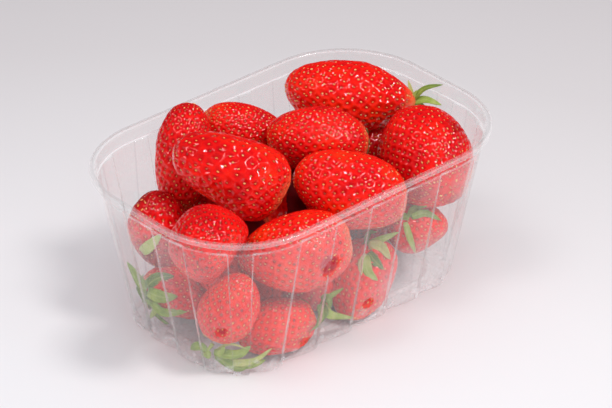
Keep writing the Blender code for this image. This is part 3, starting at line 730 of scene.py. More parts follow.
def build_tray(mat):
    st = tray_stations()
    n = len(st)
    b, t, w = BASE_OFFSET, SHEET, wall_offset
    mid = b - GROOVE_IN
    up, down = [], []

    def bezier(p0, p1, p2, k):
        return [tuple((1 - u) ** 2 * a + 2 * u * (1 - u) * c + u * u * d
                      for a, c, d in zip(p0, p1, p2))
                for u in np.linspace(0, 1, k + 1)]

    # outer side: (offset, height, flute share, rim share); the rim share sets white haze: real haze on
    # the rim, painted highlight along its edges, painted light on the base
    groove = [(mid + x, GROOVE_RISE * (0.5 + 0.5 * math.cos(math.pi * x / 1.8)))
              for x in (-1.8, -1.2, -0.6, 0.0, 0.6, 1.2, 1.8)]
    outer = [(3.0, 0.0, 0, 0.4), (10.0, 0.0, 0, 0.4)]
    outer += [(o, z, 0, 0.6) for o, z in groove]
    outer += [(b - 6.5, 0.0, 0.0, 0.4), (b - 4.2, 0.0, 0.7, 0.5)]
    outer += [(o, z, 1, 0.3) for o, z in
              bezier((b - 2.4, 0.0), (b - 0.05, 0.0), (w(2.8), 2.8), 6)]
    outer += [(w(z), z, 1, 0) for z in (6, 14, 34, 54, 70, 73)]
    outer += [(w(73.8), 73.8, 1, 0.0), (w(74.0) + 0.10, 74.05, 0.9, 0.3),
              (BAND_OFFSET - 0.45, 74.20, 0.35, 0.9),
              (BAND_OFFSET - 0.12, 74.36, 0.0, 0.9),
              (BAND_OFFSET, 74.70, 0, 0.0), (BAND_OFFSET + 0.02, 77.0, 0, 0.0),
              (BAND_OFFSET + 0.05, 79.6, 0, 0.0),
              (BAND_OFFSET + 0.20, 80.50, 0, 0.2),
              (BAND_OFFSET + 0.60, 80.93, 0, 0.2),
              (BAND_OFFSET + 1.20, 81.0, 0, 0.0),
              (RIM_OFFSET - 0.95, 80.95, 0, 0.0),
              (RIM_OFFSET - 0.50, 80.70, 0, 0.3),
              (RIM_OFFSET - 0.40, 80.20, 0, 0.3),
              (RIM_OFFSET - 0.42, 79.45, 0, 0.3),
              (RIM_OFFSET - 0.28, 79.22, 0, 1.0),
              (RIM_OFFSET - 0.10, 79.26, 0, 1.0),
              (RIM_OFFSET - 0.00, 79.50, 0, 0.3),
              (RIM_OFFSET - 0.00, 80.45, 0, 0.2),
              (RIM_OFFSET - 0.10, 80.90, 0, 0.5),
              (RIM_OFFSET - 0.35, 81.22, 0, 0.9),
              (RIM_OFFSET - 0.75, 81.38, 0, 0.2),
              (RIM_OFFSET - 1.10, 81.40, 0, 0.0)]
    # inner side, from the rim down
    inner = [(BAND_OFFSET + 0.95, 81.40, 0, 0.0), (BAND_OFFSET + 0.45, 81.34, 0, 0.3),
             (BAND_OFFSET + 0.02, 81.10, 0, 1.0), (BAND_OFFSET - 0.25, 80.70, 0, 0.2),
             (BAND_OFFSET - 0.37, 80.10, 0, 0.0), (BAND_OFFSET - 0.38, 77.0, 0, 0.0),
             (BAND_OFFSET - t, 74.95, 0, 0.0), (BAND_OFFSET - t - 0.10, 74.68, 0, 0.9),
             (BAND_OFFSET - t - 0.40, 74.52, 0.35, 0.9),
             (w(74.0) - t + 0.12, 74.38, 0.9, 0.3), (w(73.9) - t, 74.05, 1, 0.0)]
    inner += [(w(z) - t, z, 1, 0) for z in (73, 70, 54, 34, 14, 6)]
    inner += [(o - 0.30, z + 0.26, 1, 0) for o, z in
              bezier((b - 2.4, 0.12), (b - 0.05, 0.12), (w(2.8), 2.8), 6)[::-1]]
    inner += [(b - 4.2, t, 0.7, 0), (b - 6.5, t, 0.0, 0)]
    inner += [(o, z + t, 0, 0) for o, z in groove[::-1]]
    inner += [(10.0, t, 0, 0), (3.0, t, 0, 0)]
    path = [(*p, 0.0) for p in outer] + [(*p, 1.0) for p in inner]
    co, fold, painted_dark_line, rim = [], [], [], []
    for off, z, share, rimq, inside in path:
        tt = min(max(z / FLUTE_TOP_Z, 0.0), 1.0)
        s = st[:, 1] + (st[:, 0] - st[:, 1]) * tt
        d = off - flute_depth(z) * st[:, 2] * share
        x, y = plan_points(s, d)
        co.append(np.stack([x, y, np.full(n, float(z))], 1))
        live = share if z < 74.1 else 0.0
        foot = min(1.0, 0.35 + z / 12.0)
        fold.append(st[:, 3] * live * foot)
        painted_dark_line.append(st[:, 4] * live * foot)
        rim.append(np.full(n, rimq))
    co = np.concatenate(co)
    rows = len(path)
    i = np.arange(n)
    j = (i + 1) % n
    quads = [np.stack([r * n + i, r * n + j, (r + 1) * n + j, (r + 1) * n + i], 1)
             for r in range(rows - 1)]
    # the middle of the base: one face closing the outer ring, one closing the inner
    caps = [[list(range(n))[::-1]], [[(rows - 1) * n + k for k in range(n)]]]
    ob = make_object("punnet_clear_tray", co, quads + caps, mat,
                     dict(fold=np.concatenate(fold), painted_dark_line=np.concatenate(painted_dark_line),
                          rim=np.concatenate(rim)))
    return ob


# --------------------------------------------------------------------------
# the berries
# --------------------------------------------------------------------------
class Berry:
    def __init__(self, spec):
        self.name, row, self.spacing, self.flat, self.n, self.look = spec
        x, y, z, h, p, self.L, self.W, self.al, self.be = row
        self.mid = np.array([x, y, z], float)
        h, p = math.radians(h), math.radians(p)
        self.t = np.array([math.cos(p) * math.cos(h), math.cos(p) * math.sin(h),
                           math.sin(p)])
        u = CAM_RIGHT - self.t * (CAM_RIGHT @ self.t)
        if np.linalg.norm(u) < 0.25:
            u = CAM_UP - self.t * (CAM_UP @ self.t)
        v2 = CAM_BACK - self.t * (CAM_BACK @ self.t)
        self.v = v2 / np.linalg.norm(v2)          # towards the viewer
        self.u = np.cross(self.v, self.t)         # across the view
        self.rng = np.random.default_rng(abs(hash_name(self.name)))
        r = self.rng
        self.ph2, self.ph3, self.ph5 = r.uniform(0, 2 * math.pi, 3)
        self.a3, self.a5 = r.uniform(0.008, 0.022), r.uniform(0.003, 0.008)
        self.pole = self.mid - self.t * self.L / 2
        peak = self.al / (self.al + self.be)
        self.top = peak ** self.al * (1 - peak) ** self.be
        self.girth = None
        if self.name in GIRTH:
            g = np.array(GIRTH[self.name])
            t = np.linspace(0, 24, 721)[:-1]
            i, f = t.astype(int), t % 1
            p0, p1, p2, p3 = (g[(i + k) % 24] for k in (-1, 0, 1, 2))
            self.girth = 0.5 * (2 * p1 + (p2 - p0) * f
                                + (2 * p0 - 5 * p1 + 4 * p2 - p3) * f ** 2
                                + (3 * p1 - p0 - 3 * p2 + p3) * f ** 3)

    def shape(self, p, back=False):
        """Gives points of the turned shape the berry's own outline."""
        if self.girth is None:
            return p
        d = p - self.mid
        a, b = d @ CAM_RIGHT, d @ CAM_UP
        rho = np.hypot(a, b)
        k = (np.arctan2(b, a) + math.pi) / (2 * math.pi) * 720
        k0 = np.floor(k).astype(int)
        f = k - k0
        g = self.girth[k0 % 720] * (1 - f) + self.girth[(k0 + 1) % 720] * f
        w = np.clip(rho / (0.30 * self.W), 0, 1)
        g = 1 + (g - 1) * w * w * (3 - 2 * w)
        if back:
            g = 1 / g
        g = (g - 1)[..., None]
        return p + g * (a[..., None] * CAM_RIGHT + b[..., None] * CAM_UP)

    def profile(self, s):
        s = np.clip(s, 0.0, 1.0)
        return self.W / 2 * s ** self.al * (1 - s) ** self.be / self.top

    def surface(self, s, phi):
        """Points of the smooth skin at length share s and turn phi."""
        r = self.profile(s)
        f = self.flat
        r = r * (1 + f * np.cos(2 * phi)) / (1 + abs(f))
        r = r * (1 + self.a3 * np.cos(3 * (phi - self.ph3))
                 + self.a5 * np.cos(5 * (phi - self.ph5))
                 + 0.012 * np.sin(7.0 * s + self.ph2 + np.cos(phi)))
        bend = self.look.get('bend', 0.0) * (1 - 4 * (s - 0.5) ** 2)
        x = r * np.cos(phi) + bend
        y = r * np.sin(phi)
        z = (s - 0.5) * self.L
        if not self.look.get('neck'):
            rho = np.hypot(x, y)
            z = z + np.where(s < 0.5, 1.6 * np.exp(-(rho / 3.6) ** 2), 0.0)
        return self.shape(self.mid + x[..., None] * self.u
                          + y[..., None] * self.v + z[..., None] * self.t)

    def outside(self, p):
        """How far points lie outside the smooth skin, roughly."""
        d = self.shape(p, back=True) - self.mid
        a = d @ self.t
        s = a / self.L + 0.5
        x, y = d @ self.u, d @ self.v
        bend = self.look.get('bend', 0.0) * (1 - 4 * (np.clip(s, 0, 1) - 0.5) ** 2)
        x = x - bend
        rho = np.hypot(x, y)
        phi = np.arctan2(y, x)
        sc = np.clip(s, 0.004, 0.996)
        r = self.profile(sc) * (1 + self.flat * np.cos(2 * phi)) / (1 + abs(self.flat))
        slope = r * (self.al / sc - self.be / (1 - sc)) / self.L
        out = (rho - r) / np.sqrt(1 + np.minimum(slope ** 2, 30))
        beyond = np.maximum(np.maximum(-s, s - 1), 0) * self.L
        out = np.where(beyond > 0, np.hypot(np.maximum(rho, 0), beyond), out)
        way = (x / np.maximum(rho, 1e-6))[:, None] * self.u \
            + (y / np.maximum(rho, 1e-6))[:, None] * self.v \
            - np.clip(slope, -5, 5)[:, None] * self.t
        way /= np.linalg.norm(way, axis=1, keepdims=True)
        return out, way


def hash_name(name):
    h = 7
    for ch in name:
        h = (h * 131 + ord(ch)) % 1000003
    return h


def seed_layout(b):
    """Where the seeds sit: a spiral with even cells, closer at both ends."""
    s = np.linspace(0.0005, 0.9995, 1500)
    r = b.profile(s)
    ds = np.hypot(np.gradient(r), np.gradient(s * b.L))
    space = b.spacing * (0.72 + 0.36 * np.sin(math.pi * np.clip(s, 0, 1)) ** 0.8)
    area = 2 * math.pi * r * ds / (0.866 * space ** 2)
    total = np.cumsum(area)
    start = 0.03 if b.look.get('neck') else 0.015
    lo = np.interp(start, s, total)
    count = int(round(total[-1] - lo))
    k = (np.arange(count) + 0.5) / count * (total[-1] - lo) + lo
    s_k = np.interp(k, total, s)
    phi = np.arange(count) * math.pi * (3 - math.sqrt(5)) + b.ph2
    rr = np.maximum(b.profile(s_k), 1.0)
    phi = phi + b.rng.normal(0, 0.15, count) * b.spacing / rr
    s_k = np.clip(s_k + b.rng.normal(0, 0.14, count) * b.spacing / b.L, 0.004, 0.997)
    return s_k, phi


def build_berry(b, berries, leaves, mat):
    dirs, quads = cube_sphere(b.n)
    s = (dirs[:, 2] + 1) / 2
    phi = np.arctan2(dirs[:, 1], dirs[:, 0])
    base = b.surface(s, phi)
    nrm = vertex_normals(base, quads)
    if ((base - base.mean(0)) * nrm).sum() < 0:
        quads, nrm = quads[:, ::-1], -nrm
    # dimples
    s_k, phi_k = seed_layout(b)
    seeds = b.surface(s_k, phi_k)
    f1 = np.full(len(base), 1e9)
    f2 = np.full(len(base), 1e9)
    near = np.zeros(len(base), int)
    for lo in range(0, len(base), 4000):
        d = np.linalg.norm(base[lo:lo + 4000, None, :] - seeds[None], axis=2)
        k = np.argmin(d, 1)
        rows = np.arange(len(d))
        f1[lo:lo + 4000] = d[rows, k]
        near[lo:lo + 4000] = k
        d[rows, k] = 1e9
        f2[lo:lo + 4000] = d.min(1)
    cell = 0.5 * (f1 + f2)
    space = b.spacing * (0.72 + 0.36 * np.sin(math.pi * np.clip(s, 0, 1)) ** 0.8)
    u = np.clip(f1 / np.minimum(cell, 0.62 * space), 0, 1)
    deep = b.look.get('deep', 1.0) * b.rng.uniform(0.8, 1.2, len(seeds))[near]
    ends = np.clip(np.minimum(s / 0.03, (1 - s) / 0.02), 0, 1)
    depth = 0.39 * np.minimum(cell, 2.9) * (1 - u ** 2) ** 1.2 * deep
    depth = depth + 0.28 * np.exp(-(f1 / 0.85) ** 2)
    depth = depth * (0.25 + 0.75 * ends)
    # low swellings of the flesh between the dimples
    p = base + nrm * 0.12
    swell = (np.sin(p[:, 0] * 0.31 + b.ph2) + np.sin(p[:, 1] * 0.27 + b.ph3)
             + np.sin(p[:, 2] * 0.35 + b.ph5)) * 0.13
    p = p - nrm * depth[:, None] + nrm * swell[:, None]
    # pressed flat against its neighbours
    for other in berries:
        if other is b:
            continue
        if np.linalg.norm(other.mid - b.mid) > (other.L + b.L) / 2 + 2:
            continue
        out, _ = other.outside(p)
        push = np.clip(0.12 - out, 0, 14.0)
        push = np.where(out < 0.12, 0.5 * push + 0.05, 0.0)
        p = p - nrm * np.minimum(push, 5.0)[:, None]
    # and against the punnet
    gap = np.full(len(p), 0.12)
    for name, pts, wid, _ in leaves:
        line = np.concatenate([pts[0] + (pts[1] - pts[0]) * np.linspace(0, 1, 5)[:, None],
                               pts[1] + (pts[2] - pts[1]) * np.linspace(0, 1, 5)[:, None]])
        if np.linalg.norm(line - b.mid, axis=1).min() > b.L:
            continue
        for q in line:
            gap = np.maximum(gap, 1.1 - 0.25 * np.maximum(
                np.linalg.norm(p - q, axis=1) - wid * 0.6, 0))
    p, over = keep_inside(p, gap)
    p[:, 2] = np.where(p[:, 2] > 90.5, 90.5 + (p[:, 2] - 90.5) * 0.55, p[:, 2])
    press = np.zeros(len(p))
    for x, y, z, r in PATCHES:
        d = np.linalg.norm(p - np.array([x, y, z]), axis=1)
        press = np.maximum(press, np.clip((r + 0.6 - d) / 1.5, 0, 1))
    # pit drives the painted shade in the dimples and the painted highlight on their crests in the skin
    # material
    pit = 0.45 * np.clip(1 - u / 0.9, 0, 1) + 0.75 * np.exp(-(f1 / 0.85) ** 2)
    ob = make_object("strawberry_" + b.name, p, [quads], mat,
                     dict(pit=pit, axis=s, press=press,
                          tone=np.full(len(p), b.look.get('tone', 0.3))))
    # the seeds follow the pressed skin
    at = np.zeros(len(seeds), int)
    best = np.full(len(seeds), 1e9)
    order = np.argsort(f1)[::-1]
    at[near[order]] = order
    moved = p[at] - base[at] + seeds
    nn = nrm[at]
    moved = np.where((over[at] > 0)[:, None], p[at], moved)
    free = np.ones(len(moved), bool)        # none where berries touch
    for other in berries:
        if other is not b and np.linalg.norm(other.mid - b.mid) < (other.L + b.L) / 2 + 2:
            free &= other.outside(moved)[0] > 0.30
    return ob, moved[free], nn[free]


def build_seeds(data, mat):
    """All seeds as one mesh: small drops, narrow end to the berry's tip."""
    ring, rows = 5, 4
    prof = [(-1.0, 0.0), (-0.45, 0.92), (0.30, 0.84), (1.0, 0.0)]
    tmpl, along = [], []
    tmpl.append((0, 0, prof[0][0]))
    along.append(0.0)
    for a, r in prof[1:-1]:
        for k in range(ring):
            ang = 2 * math.pi * k / ring
            tmpl.append((r * math.cos(ang), r * math.sin(ang), a))
            along.append((a + 1) / 2)
    tmpl.append((0, 0, prof[-1][0]))
    along.append(1.0)
    tmpl, along = np.array(tmpl), np.array(along)
    tris, quads = [], []
    last = len(tmpl) - 1
    for k in range(ring):
        k2 = (k + 1) % ring
        tris.append((0, 1 + k2, 1 + k))
        for rr in range(rows - 3):
            a0 = 1 + rr * ring
            quads.append((a0 + k, a0 + k2, a0 + ring + k2, a0 + ring + k))
        a0 = 1 + (rows - 3) * ring
        tris.append((a0 + k, a0 + k2, last))
    tris, quads = np.array(tris), np.array(quads)
    co, ft, fq, tone, al = [], [], [], [], []
    base = 0
    for b, pos, nn in data:
        r = b.rng
        m = len(pos)
        size = (0.80 + 0.035 * b.spacing) * r.uniform(0.82, 1.12, m)
        along_v = b.t - nn * (nn @ b.t)[:, None]
        ln = np.linalg.norm(along_v, axis=1, keepdims=True)
        along_v = np.where(ln > 0.15, along_v / np.maximum(ln, 1e-6), b.u)
        side = np.cross(nn, along_v)
        side /= np.linalg.norm(side, axis=1, keepdims=True)
        turn = r.normal(0, 0.22, m)[:, None]
        a2 = along_v * np.cos(turn) + side * np.sin(turn)
        s2 = side * np.cos(turn) - along_v * np.sin(turn)
        a2 = a2 + nn * r.normal(0.0, 0.10, m)[:, None]
        for k in range(m):
            c = size[k]
            pts = (pos[k] + nn[k] * 0.04
                   + np.outer(tmpl[:, 2] * 0.78 * c, a2[k])
                   + np.outer(tmpl[:, 0] * 0.50 * c, s2[k])
                   + np.outer(tmpl[:, 1] * 0.38 * c, nn[k]))
            co.append(pts)
            ft.append(tris + base)
            fq.append(quads + base)
            base += len(tmpl)
        tone.append(np.repeat(np.clip(r.normal(0.58 + b.look.get('seed', 0.0), 0.24, m),
                                      0, 1), len(tmpl)))
        al.append(np.tile(along, m))
    co = np.concatenate(co)
    return make_object("strawberry_seeds", co, [np.concatenate(ft), np.concatenate(fq)],
                       mat, dict(tone=np.concatenate(tone), along=np.concatenate(al)))


# --------------------------------------------------------------------------
# leaves and stalks
# --------------------------------------------------------------------------
class Pile:
    """Meshes gathered into one object."""

    def __init__(self):
        self.co, self.quads, self.tris, self.vals, self.n = [], [], [], {}, 0

    def add(self, co, quads, tris, **vals):
        self.co.append(co)
        if len(quads):
            self.quads.append(np.asarray(quads) + self.n)
        if len(tris):
            self.tris.append(np.asarray(tris) + self.n)
        for k, v in vals.items():
            self.vals.setdefault(k, []).append(
                np.broadcast_to(np.asarray(v, float), (len(co),)))
        self.n += len(co)


def spline(pts, n):
    """A smooth line through three or more points."""
    pts = np.asarray(pts, float)
    ext = np.concatenate([[2 * pts[0] - pts[1]], pts, [2 * pts[-1] - pts[-2]]])
    m = len(pts) - 1
    out = []
    for t in np.linspace(0, m, n):
        i = min(int(t), m - 1)
        f = t - i
        p0, p1, p2, p3 = ext[i:i + 4]
        out.append(0.5 * (2 * p1 + (p2 - p0) * f + (2 * p0 - 5 * p1 + 4 * p2 - p3) * f ** 2
                          + (3 * p1 - p0 - 3 * p2 + p3) * f ** 3))
    return np.array(out)


def push_out(p, berries, lift, skip=None):
    for b in berries:
        if skip is not None and b.name in skip:
            continue
        if np.linalg.norm(p - b.mid, axis=1).min() > b.L:
            continue
        out, way = b.outside(p)
        p = p + way * np.clip(lift - out, 0, 6.0)[:, None]
    return p


def push_view(p, berries, lift):
    """Brings points towards the viewer until they clear the berries."""
    p = np.array(p, float)
    for _ in range(16):
        out = np.min([b.outside(p)[0] for b in berries], axis=0)
        p = p + CAM_BACK * np.clip(lift - out, 0, 1.0)[:, None]
    return p


def place_leaves(berries):
    rows = []
    for name, p0, p1, p2, width, tone in LEAVES:
        pts = np.array([p0, p1, p2], float)
        if name != 'b01':
            pts = push_view(pts, berries, 0.6)
            pts, _ = keep_inside(pts, 0.5, floor=1.6)
        rows.append((name, pts, width, tone))
    return rows


def add_leaf(pile, pts, width, tone, up, berries, rng, lift=0.55, gap=0.15,
             cup=0.16, wave=0.10, front=False):
    rows, cols = 12, 7
    line = spline(pts, rows)
    if berries:
        line = (push_view if front else push_out)(line, berries, lift)
    line, _ = keep_inside(line, gap + 0.3, floor=1.6)
    tan = np.gradient(line, axis=0)
    tan /= np.maximum(np.linalg.norm(tan, axis=1, keepdims=True), 1e-6)
    side = np.cross(tan, up)
    side /= np.maximum(np.linalg.norm(side, axis=1, keepdims=True), 1e-6)
    nrm = np.cross(side, tan)
    t = np.linspace(0, 1, rows)
    shape = (t + 0.07) ** 0.45 * (1.001 - t) ** 0.75
    shape = np.maximum(shape / shape.max(), 0.035) * width / 2
    j = np.linspace(-1, 1, cols)
    ph = rng.uniform(0, 6.28, 2)
    top, bot = [], []
    thick = 0.20
    for k in range(rows):
        lat = j * shape[k]
        h = (cup * np.abs(j) ** 1.6 * shape[k]
             + wave * shape[k] * np.sin(j * 2.2 + t[k] * 7 + ph[0]) * np.abs(j))
        edge = 1 - 0.65 * np.abs(j) ** 3
        c = line[k] + side[k] * lat[:, None]
        top.append(c + nrm[k] * (h + thick * edge)[:, None])
        bot.append(c + nrm[k] * (h - thick * edge)[:, None])
    co = np.concatenate([np.concatenate(top), np.concatenate(bot)])
    if berries:
        co = push_out(co, berries, 0.12)
    co, _ = keep_inside(co, gap, floor=1.3)
    m = rows * cols
    quads = []
    for k in range(rows - 1):
        for i in range(cols - 1):
            a = k * cols + i
            quads.append((a, a + 1, a + cols + 1, a + cols))
            quads.append((m + a, m + a + cols, m + a + cols + 1, m + a + 1))
        a = k * cols
        quads.append((a, a + cols, m + a + cols, m + a))
        a = k * cols + cols - 1
        quads.append((a, m + a, m + a + cols, a + cols))
    for i in range(cols - 1):
        quads.append((i, m + i, m + i + 1, i + 1))
        a = (rows - 1) * cols + i
        quads.append((a, a + 1, m + a + 1, m + a))
    al = np.repeat(t, cols)
    ac = np.tile(j, rows)
    pile.add(co, quads, [], tone=tone, along=np.concatenate([al, al]),
             across=np.concatenate([ac, ac]))


def add_stalk(pile, start, way, length, radius, tone, rng):
    ring, rows = 9, 7
    bendv = rng.normal(0, 1, 3)
    bendv -= way * (bendv @ way)
    bendv /= np.linalg.norm(bendv)
    line = np.array([start + way * length * t + bendv * length * 0.22 * t * t
                     for t in np.linspace(0, 1, rows)])
    line, _ = keep_inside(line, radius + 0.3, floor=radius + 1.4)
    tan = np.gradient(line, axis=0)
    tan /= np.linalg.norm(tan, axis=1, keepdims=True)
    a = np.cross(tan, (0.3, 0.5, 0.81))
    a /= np.linalg.norm(a, axis=1, keepdims=True)
    c = np.cross(tan, a)
    co = []
    for k in range(rows):
        rr = radius * (1.25 - 0.30 * min(k / 2, 1) + 0.12 * (k == rows - 1))
        for q in range(ring):
            ang = 2 * math.pi * q / ring
            co.append(line[k] + rr * (a[k] * math.cos(ang) + c[k] * math.sin(ang)))
    co.append(line[0] - tan[0] * 0.3)
    co.append(line[-1] + tan[-1] * 0.15)
    quads, tris = [], []
    for k in range(rows - 1):
        for q in range(ring):
            q2 = (q + 1) % ring
            quads.append((k * ring + q, k * ring + q2, (k + 1) * ring + q2,
                          (k + 1) * ring + q))
    m = rows * ring
    for q in range(ring):
        q2 = (q + 1) % ring
        tris.append((m, q2, q))
        tris.append((m + 1, (rows - 1) * ring + q, (rows - 1) * ring + q2))
    al = np.repeat(np.linspace(0, 1, rows), ring)
    pile.add(np.array(co), quads, tris, tone=tone,
             along=np.concatenate([al, [0, 1]]), across=0.5)


def build_leaves(berries, leaves, mat):
    pile = Pile()
    rng = np.random.default_rng(99)
    for name, pts, width, tone in leaves:
        pts = list(pts)
        others = [] if name == 'b01' else berries
        up = CAM_BACK if name != 'b01' else CAM_BACK * 0.7 + CAM_UP * 0.3
        add_leaf(pile, pts, width, tone, up, others, rng,
                 cup=0.22 if name == 'b01' else 0.14, front=True)
    seen = {}
    for row in LEAVES:
        seen.setdefault(row[0], []).append(np.array(row[1]))
    for b in berries:
        mode = b.look.get('calyx')
        if b.name in seen:
            # the far half of the star, behind the leaves that show
            count, mode2 = 4, "back"
        elif mode:
            count, mode2 = (5 if mode == "tuck" else 9), mode
        else:
            continue
        r = b.rng
        for k in range(count):
            if mode2 == "back":
                ang = -math.pi / 2 + (k - (count - 1) / 2) * 0.6
            else:
                ang = 2 * math.pi * k / count + r.uniform(-0.2, 0.2)
            radial = b.u * math.cos(ang) + b.v * math.sin(ang)
            length = r.uniform(9.5, 13.5)
            if mode2 == "tuck":
                length *= 0.55
            lift = {"clasp": 0.5, "open": 1.6, "back": 0.6, "tuck": 0.4}[mode2]
            pts = []
            for f in (0.06, 0.35, 0.7, 1.0):
                rho = max(f * length, 0.9)
                s_g = np.linspace(0.0, 0.45, 60)
                prof = b.profile(s_g)
                arc = np.concatenate([[0], np.cumsum(np.hypot(
                    np.diff(prof), np.diff(s_g * b.L)))])
                s_f = float(np.interp(rho, arc, s_g))
                q = b.surface(np.array([s_f]), np.array([ang]))[0]
                q = q + (radial - b.t * 0.35) * (0.35 + lift * f * f * (1.2 if mode2 == "open" else 0.7))
                pts.append(q)
            if mode2 == "open":
                pts[-1] = pts[-1] - b.t * r.uniform(0.5, 3.5)
            add_leaf(pile, pts, r.uniform(3.6, 5.0) * (0.7 if mode2 == "tuck" else 1),
                     float(r.uniform(0.35, 0.62)) - (0.3 if mode2 == "tuck" else 0),
                     -b.t * 0.8 + radial * 0.4,
                     [q for q in berries if q is not b], rng, lift=0.4)
        if mode2 in ("clasp", "open") or b.name in ('b01', 'b11', 'b13'):
            add_stalk(pile, b.pole + b.t * 0.8, -b.t, 5.5 if mode2 != 'back' else 3.5,
                      0.85, 0.70, rng)
    ob = make_object("calyx_leaves", np.concatenate(pile.co),
                     [np.concatenate(pile.quads)]
                     + ([np.concatenate(pile.tris)] if pile.tris else []), mat,
                     {k: np.concatenate(v) for k, v in pile.vals.items()})
    return ob


def build_core(mat):
    """What little shows deep between the berries, painted dark as the shade there."""
    dirs, quads = cube_sphere(22)
    centres = ((-30, 6, 33, 24, 15, 19), (10, 8, 36, 30, 18, 20),
               (38, 12, 34, 22, 15, 18))
    mid = np.array([4.0, 8.0, 34.0])
    r = np.zeros(len(dirs))
    for x, y, z, a, b, c in centres:
        # where a ray from the middle leaves each ellipsoid
        o = (mid - np.array([x, y, z])) / np.array([a, b, c])
        d = dirs / np.array([a, b, c])
        A, B, C = (d * d).sum(1), 2 * (d @ o), o @ o - 1
        disc = B * B - 4 * A * C
        hit = np.where(disc > 0, (-B + np.sqrt(np.maximum(disc, 0))) / (2 * A), 0)
        r = np.maximum(r, hit)
    r = np.maximum(r, 12.0)
    r = r * (1 + 0.03 * np.sin(dirs[:, 0] * 11 + dirs[:, 2] * 7)
             + 0.03 * np.sin(dirs[:, 1] * 13 - dirs[:, 2] * 5))
    return make_object("heap_core", mid + dirs * r[:, None], [quads], mat)


# --------------------------------------------------------------------------
# build it all
# --------------------------------------------------------------------------
skin, seed_mat, leaf_mat = skin_material(), seed_material(), leaf_material()
berries = [Berry(spec) for spec in BERRIES]
shown_leaves = place_leaves(berries)
pieces, seed_data = [], []
for b in berries:
    ob, pos, nn = build_berry(b, berries, shown_leaves, skin)
    pieces.append((ob, "strawberry_red"))
    if b.n >= 30:
        seed_data.append((b, pos, nn))
pieces.append((build_seeds(seed_data, seed_mat), "seed_yellow"))
pieces.append((build_leaves(berries, shown_leaves, leaf_mat), "calyx_green"))
pieces.append((build_core(core_material()), "heap_core"))
tray = build_tray(sheet_material())

for ob, slot in pieces:
    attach(ob, "root")
    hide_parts("strawberry_heap")
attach(tray, "root")
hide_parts("punnet_tray")

total = 0
for ob in [p[0] for p in pieces] + [tray]:
    ob.data.calc_loop_triangles()
    n_tri = len(ob.data.loop_triangles)
    total += n_tri
    if n_tri > 60000:
        print("piece", ob.name, n_tri)
print("triangles in all", total)

# --------------------------------------------------------------------------
# floor, lights, camera
# --------------------------------------------------------------------------
floor_mat, nt, out = new_material("floor_white")
bsdf = node(nt, 'ShaderNodeBsdfPrincipled')
# painted light: the floor is palest round a spot left of the punnet and greyer further out, standing in
# for the lamps' falloff
painted_light_pool = node(nt, 'ShaderNodeVectorMath', operation='DISTANCE')
nt.links.new(object_coords(nt), painted_light_pool.inputs[0])
painted_light_pool.inputs[1].default_value = (-0.19, -0.11, 0.0)
nt.links.new(ramp(nt, painted_light_pool.outputs['Value'], [
    (0.0, (0.80, 0.79, 0.80)), (0.17, (0.785, 0.77, 0.78)),
    (0.27, (0.76, 0.735, 0.742)), (0.45, (0.625, 0.588, 0.59)),
    (0.75, (0.50, 0.458, 0.462)), (1.0, (0.455, 0.42, 0.425))]),
    bsdf.inputs['Base Color'])
bsdf.inputs['Roughness'].default_value = 0.75
bsdf.inputs['Specular IOR Level'].default_value = 0.25
nt.links.new(bsdf.outputs[0], out.inputs['Surface'])
bpy.ops.mesh.primitive_circle_add(vertices=96, radius=4.0, fill_type='NGON',
                                  location=(0, 0, 0))
floor = bpy.context.object
floor.name = "floor"
floor.data.materials.append(floor_mat)

world = bpy.data.worlds.new("studio")
bpy.context.scene.world = world
world.use_nodes = True
wn = world.node_tree
wn.nodes.clear()
w_out = wn.nodes.new('ShaderNodeOutputWorld')
seen_bg = wn.nodes.new('ShaderNodeBackground')
seen_bg.inputs[0].default_value = (0.80, 0.775, 0.78, 1)
seen_bg.inputs[1].default_value = 0.85
lit_bg = wn.nodes.new('ShaderNodeBackground')
lit_bg.inputs[0].default_value = (0.945, 0.97, 1.02, 1)
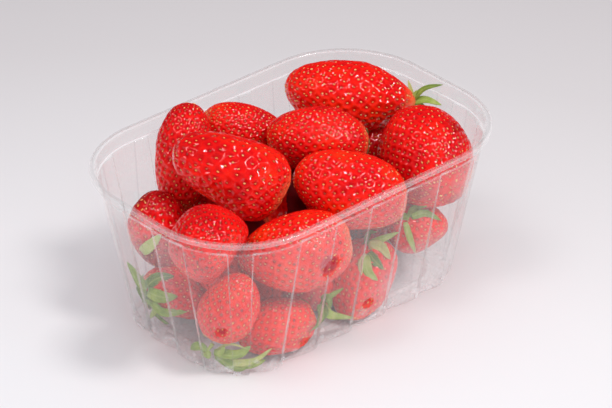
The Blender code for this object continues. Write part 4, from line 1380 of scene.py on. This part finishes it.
# the room is lighter on the viewer's side than behind the punnet
side_n = wn.nodes.new('ShaderNodeVectorMath')
side_n.operation = 'DOT_PRODUCT'
side_n.inputs[1].default_value = (-0.62, -0.72, 0.30)
wn.links.new(wn.nodes.new('ShaderNodeTexCoord').outputs['Generated'],
             side_n.inputs[0])
side_r = wn.nodes.new('ShaderNodeMapRange')
side_r.inputs['From Min'].default_value = -0.8
side_r.inputs['From Max'].default_value = 0.9
side_r.inputs['To Min'].default_value = 0.355
side_r.inputs['To Max'].default_value = 1.08
wn.links.new(side_n.outputs['Value'], side_r.inputs['Value'])
dim_n = wn.nodes.new('ShaderNodeMath')      # and far darker as mirrored in glossy surfaces
dim_n.operation = 'MULTIPLY_ADD'
dim_n.inputs[1].default_value = -0.91
dim_n.inputs[2].default_value = 1.0
mul_n = wn.nodes.new('ShaderNodeMath')
mul_n.operation = 'MULTIPLY'
wn.links.new(side_r.outputs[0], mul_n.inputs[0])
wn.links.new(dim_n.outputs[0], mul_n.inputs[1])
wn.links.new(mul_n.outputs[0], lit_bg.inputs[1])
path_n = wn.nodes.new('ShaderNodeLightPath')
wn.links.new(path_n.outputs['Is Glossy Ray'], dim_n.inputs[0])
w_mix = wn.nodes.new('ShaderNodeMixShader')
wn.links.new(path_n.outputs['Is Camera Ray'], w_mix.inputs[0])
wn.links.new(lit_bg.outputs[0], w_mix.inputs[1])
wn.links.new(seen_bg.outputs[0], w_mix.inputs[2])
wn.links.new(w_mix.outputs[0], w_out.inputs['Surface'])


def area_light(name, way, distance, size, power, colour=(1, 1, 1)):
    way = Vector(way).normalized()
    data = bpy.data.lights.new(name, 'AREA')
    data.shape = 'SQUARE'
    data.size = size
    data.energy = power
    data.color = colour
    ob = bpy.data.objects.new(name, data)
    bpy.context.scene.collection.objects.link(ob)
    ob.location = Vector((0.0, -0.01, 0.05)) + way * distance
    ob.rotation_euler = (-way).to_track_quat('-Z', 'Y').to_euler()
    return ob


area_light("key", (0.27, -0.50, 0.82), 1.1, 0.25, 5.35, (1.0, 0.98, 0.965))
area_light("second", (-0.45, 0.20, 0.87), 1.1, 0.32, 2.0, (1.0, 0.985, 0.98))

cam_data = bpy.data.cameras.new("camera")
cam_data.sensor_width = 36.0
cam_data.lens = 3054.0 / 612.0 * 36.0
cam_data.clip_start = 0.05
cam_data.clip_end = 30.0
cam = bpy.data.objects.new("camera", cam_data)
bpy.context.scene.collection.objects.link(cam)
pos = (TARGET + CAM_BACK * DISTANCE) * MM
m = Matrix.Identity(4)
for k in range(3):
    m[k][0], m[k][1], m[k][2], m[k][3] = CAM_RIGHT[k], CAM_UP[k], CAM_BACK[k], pos[k]
cam.matrix_world = m
bpy.context.scene.camera = cam
bpy.context.scene.view_settings.view_transform = 'Standard'
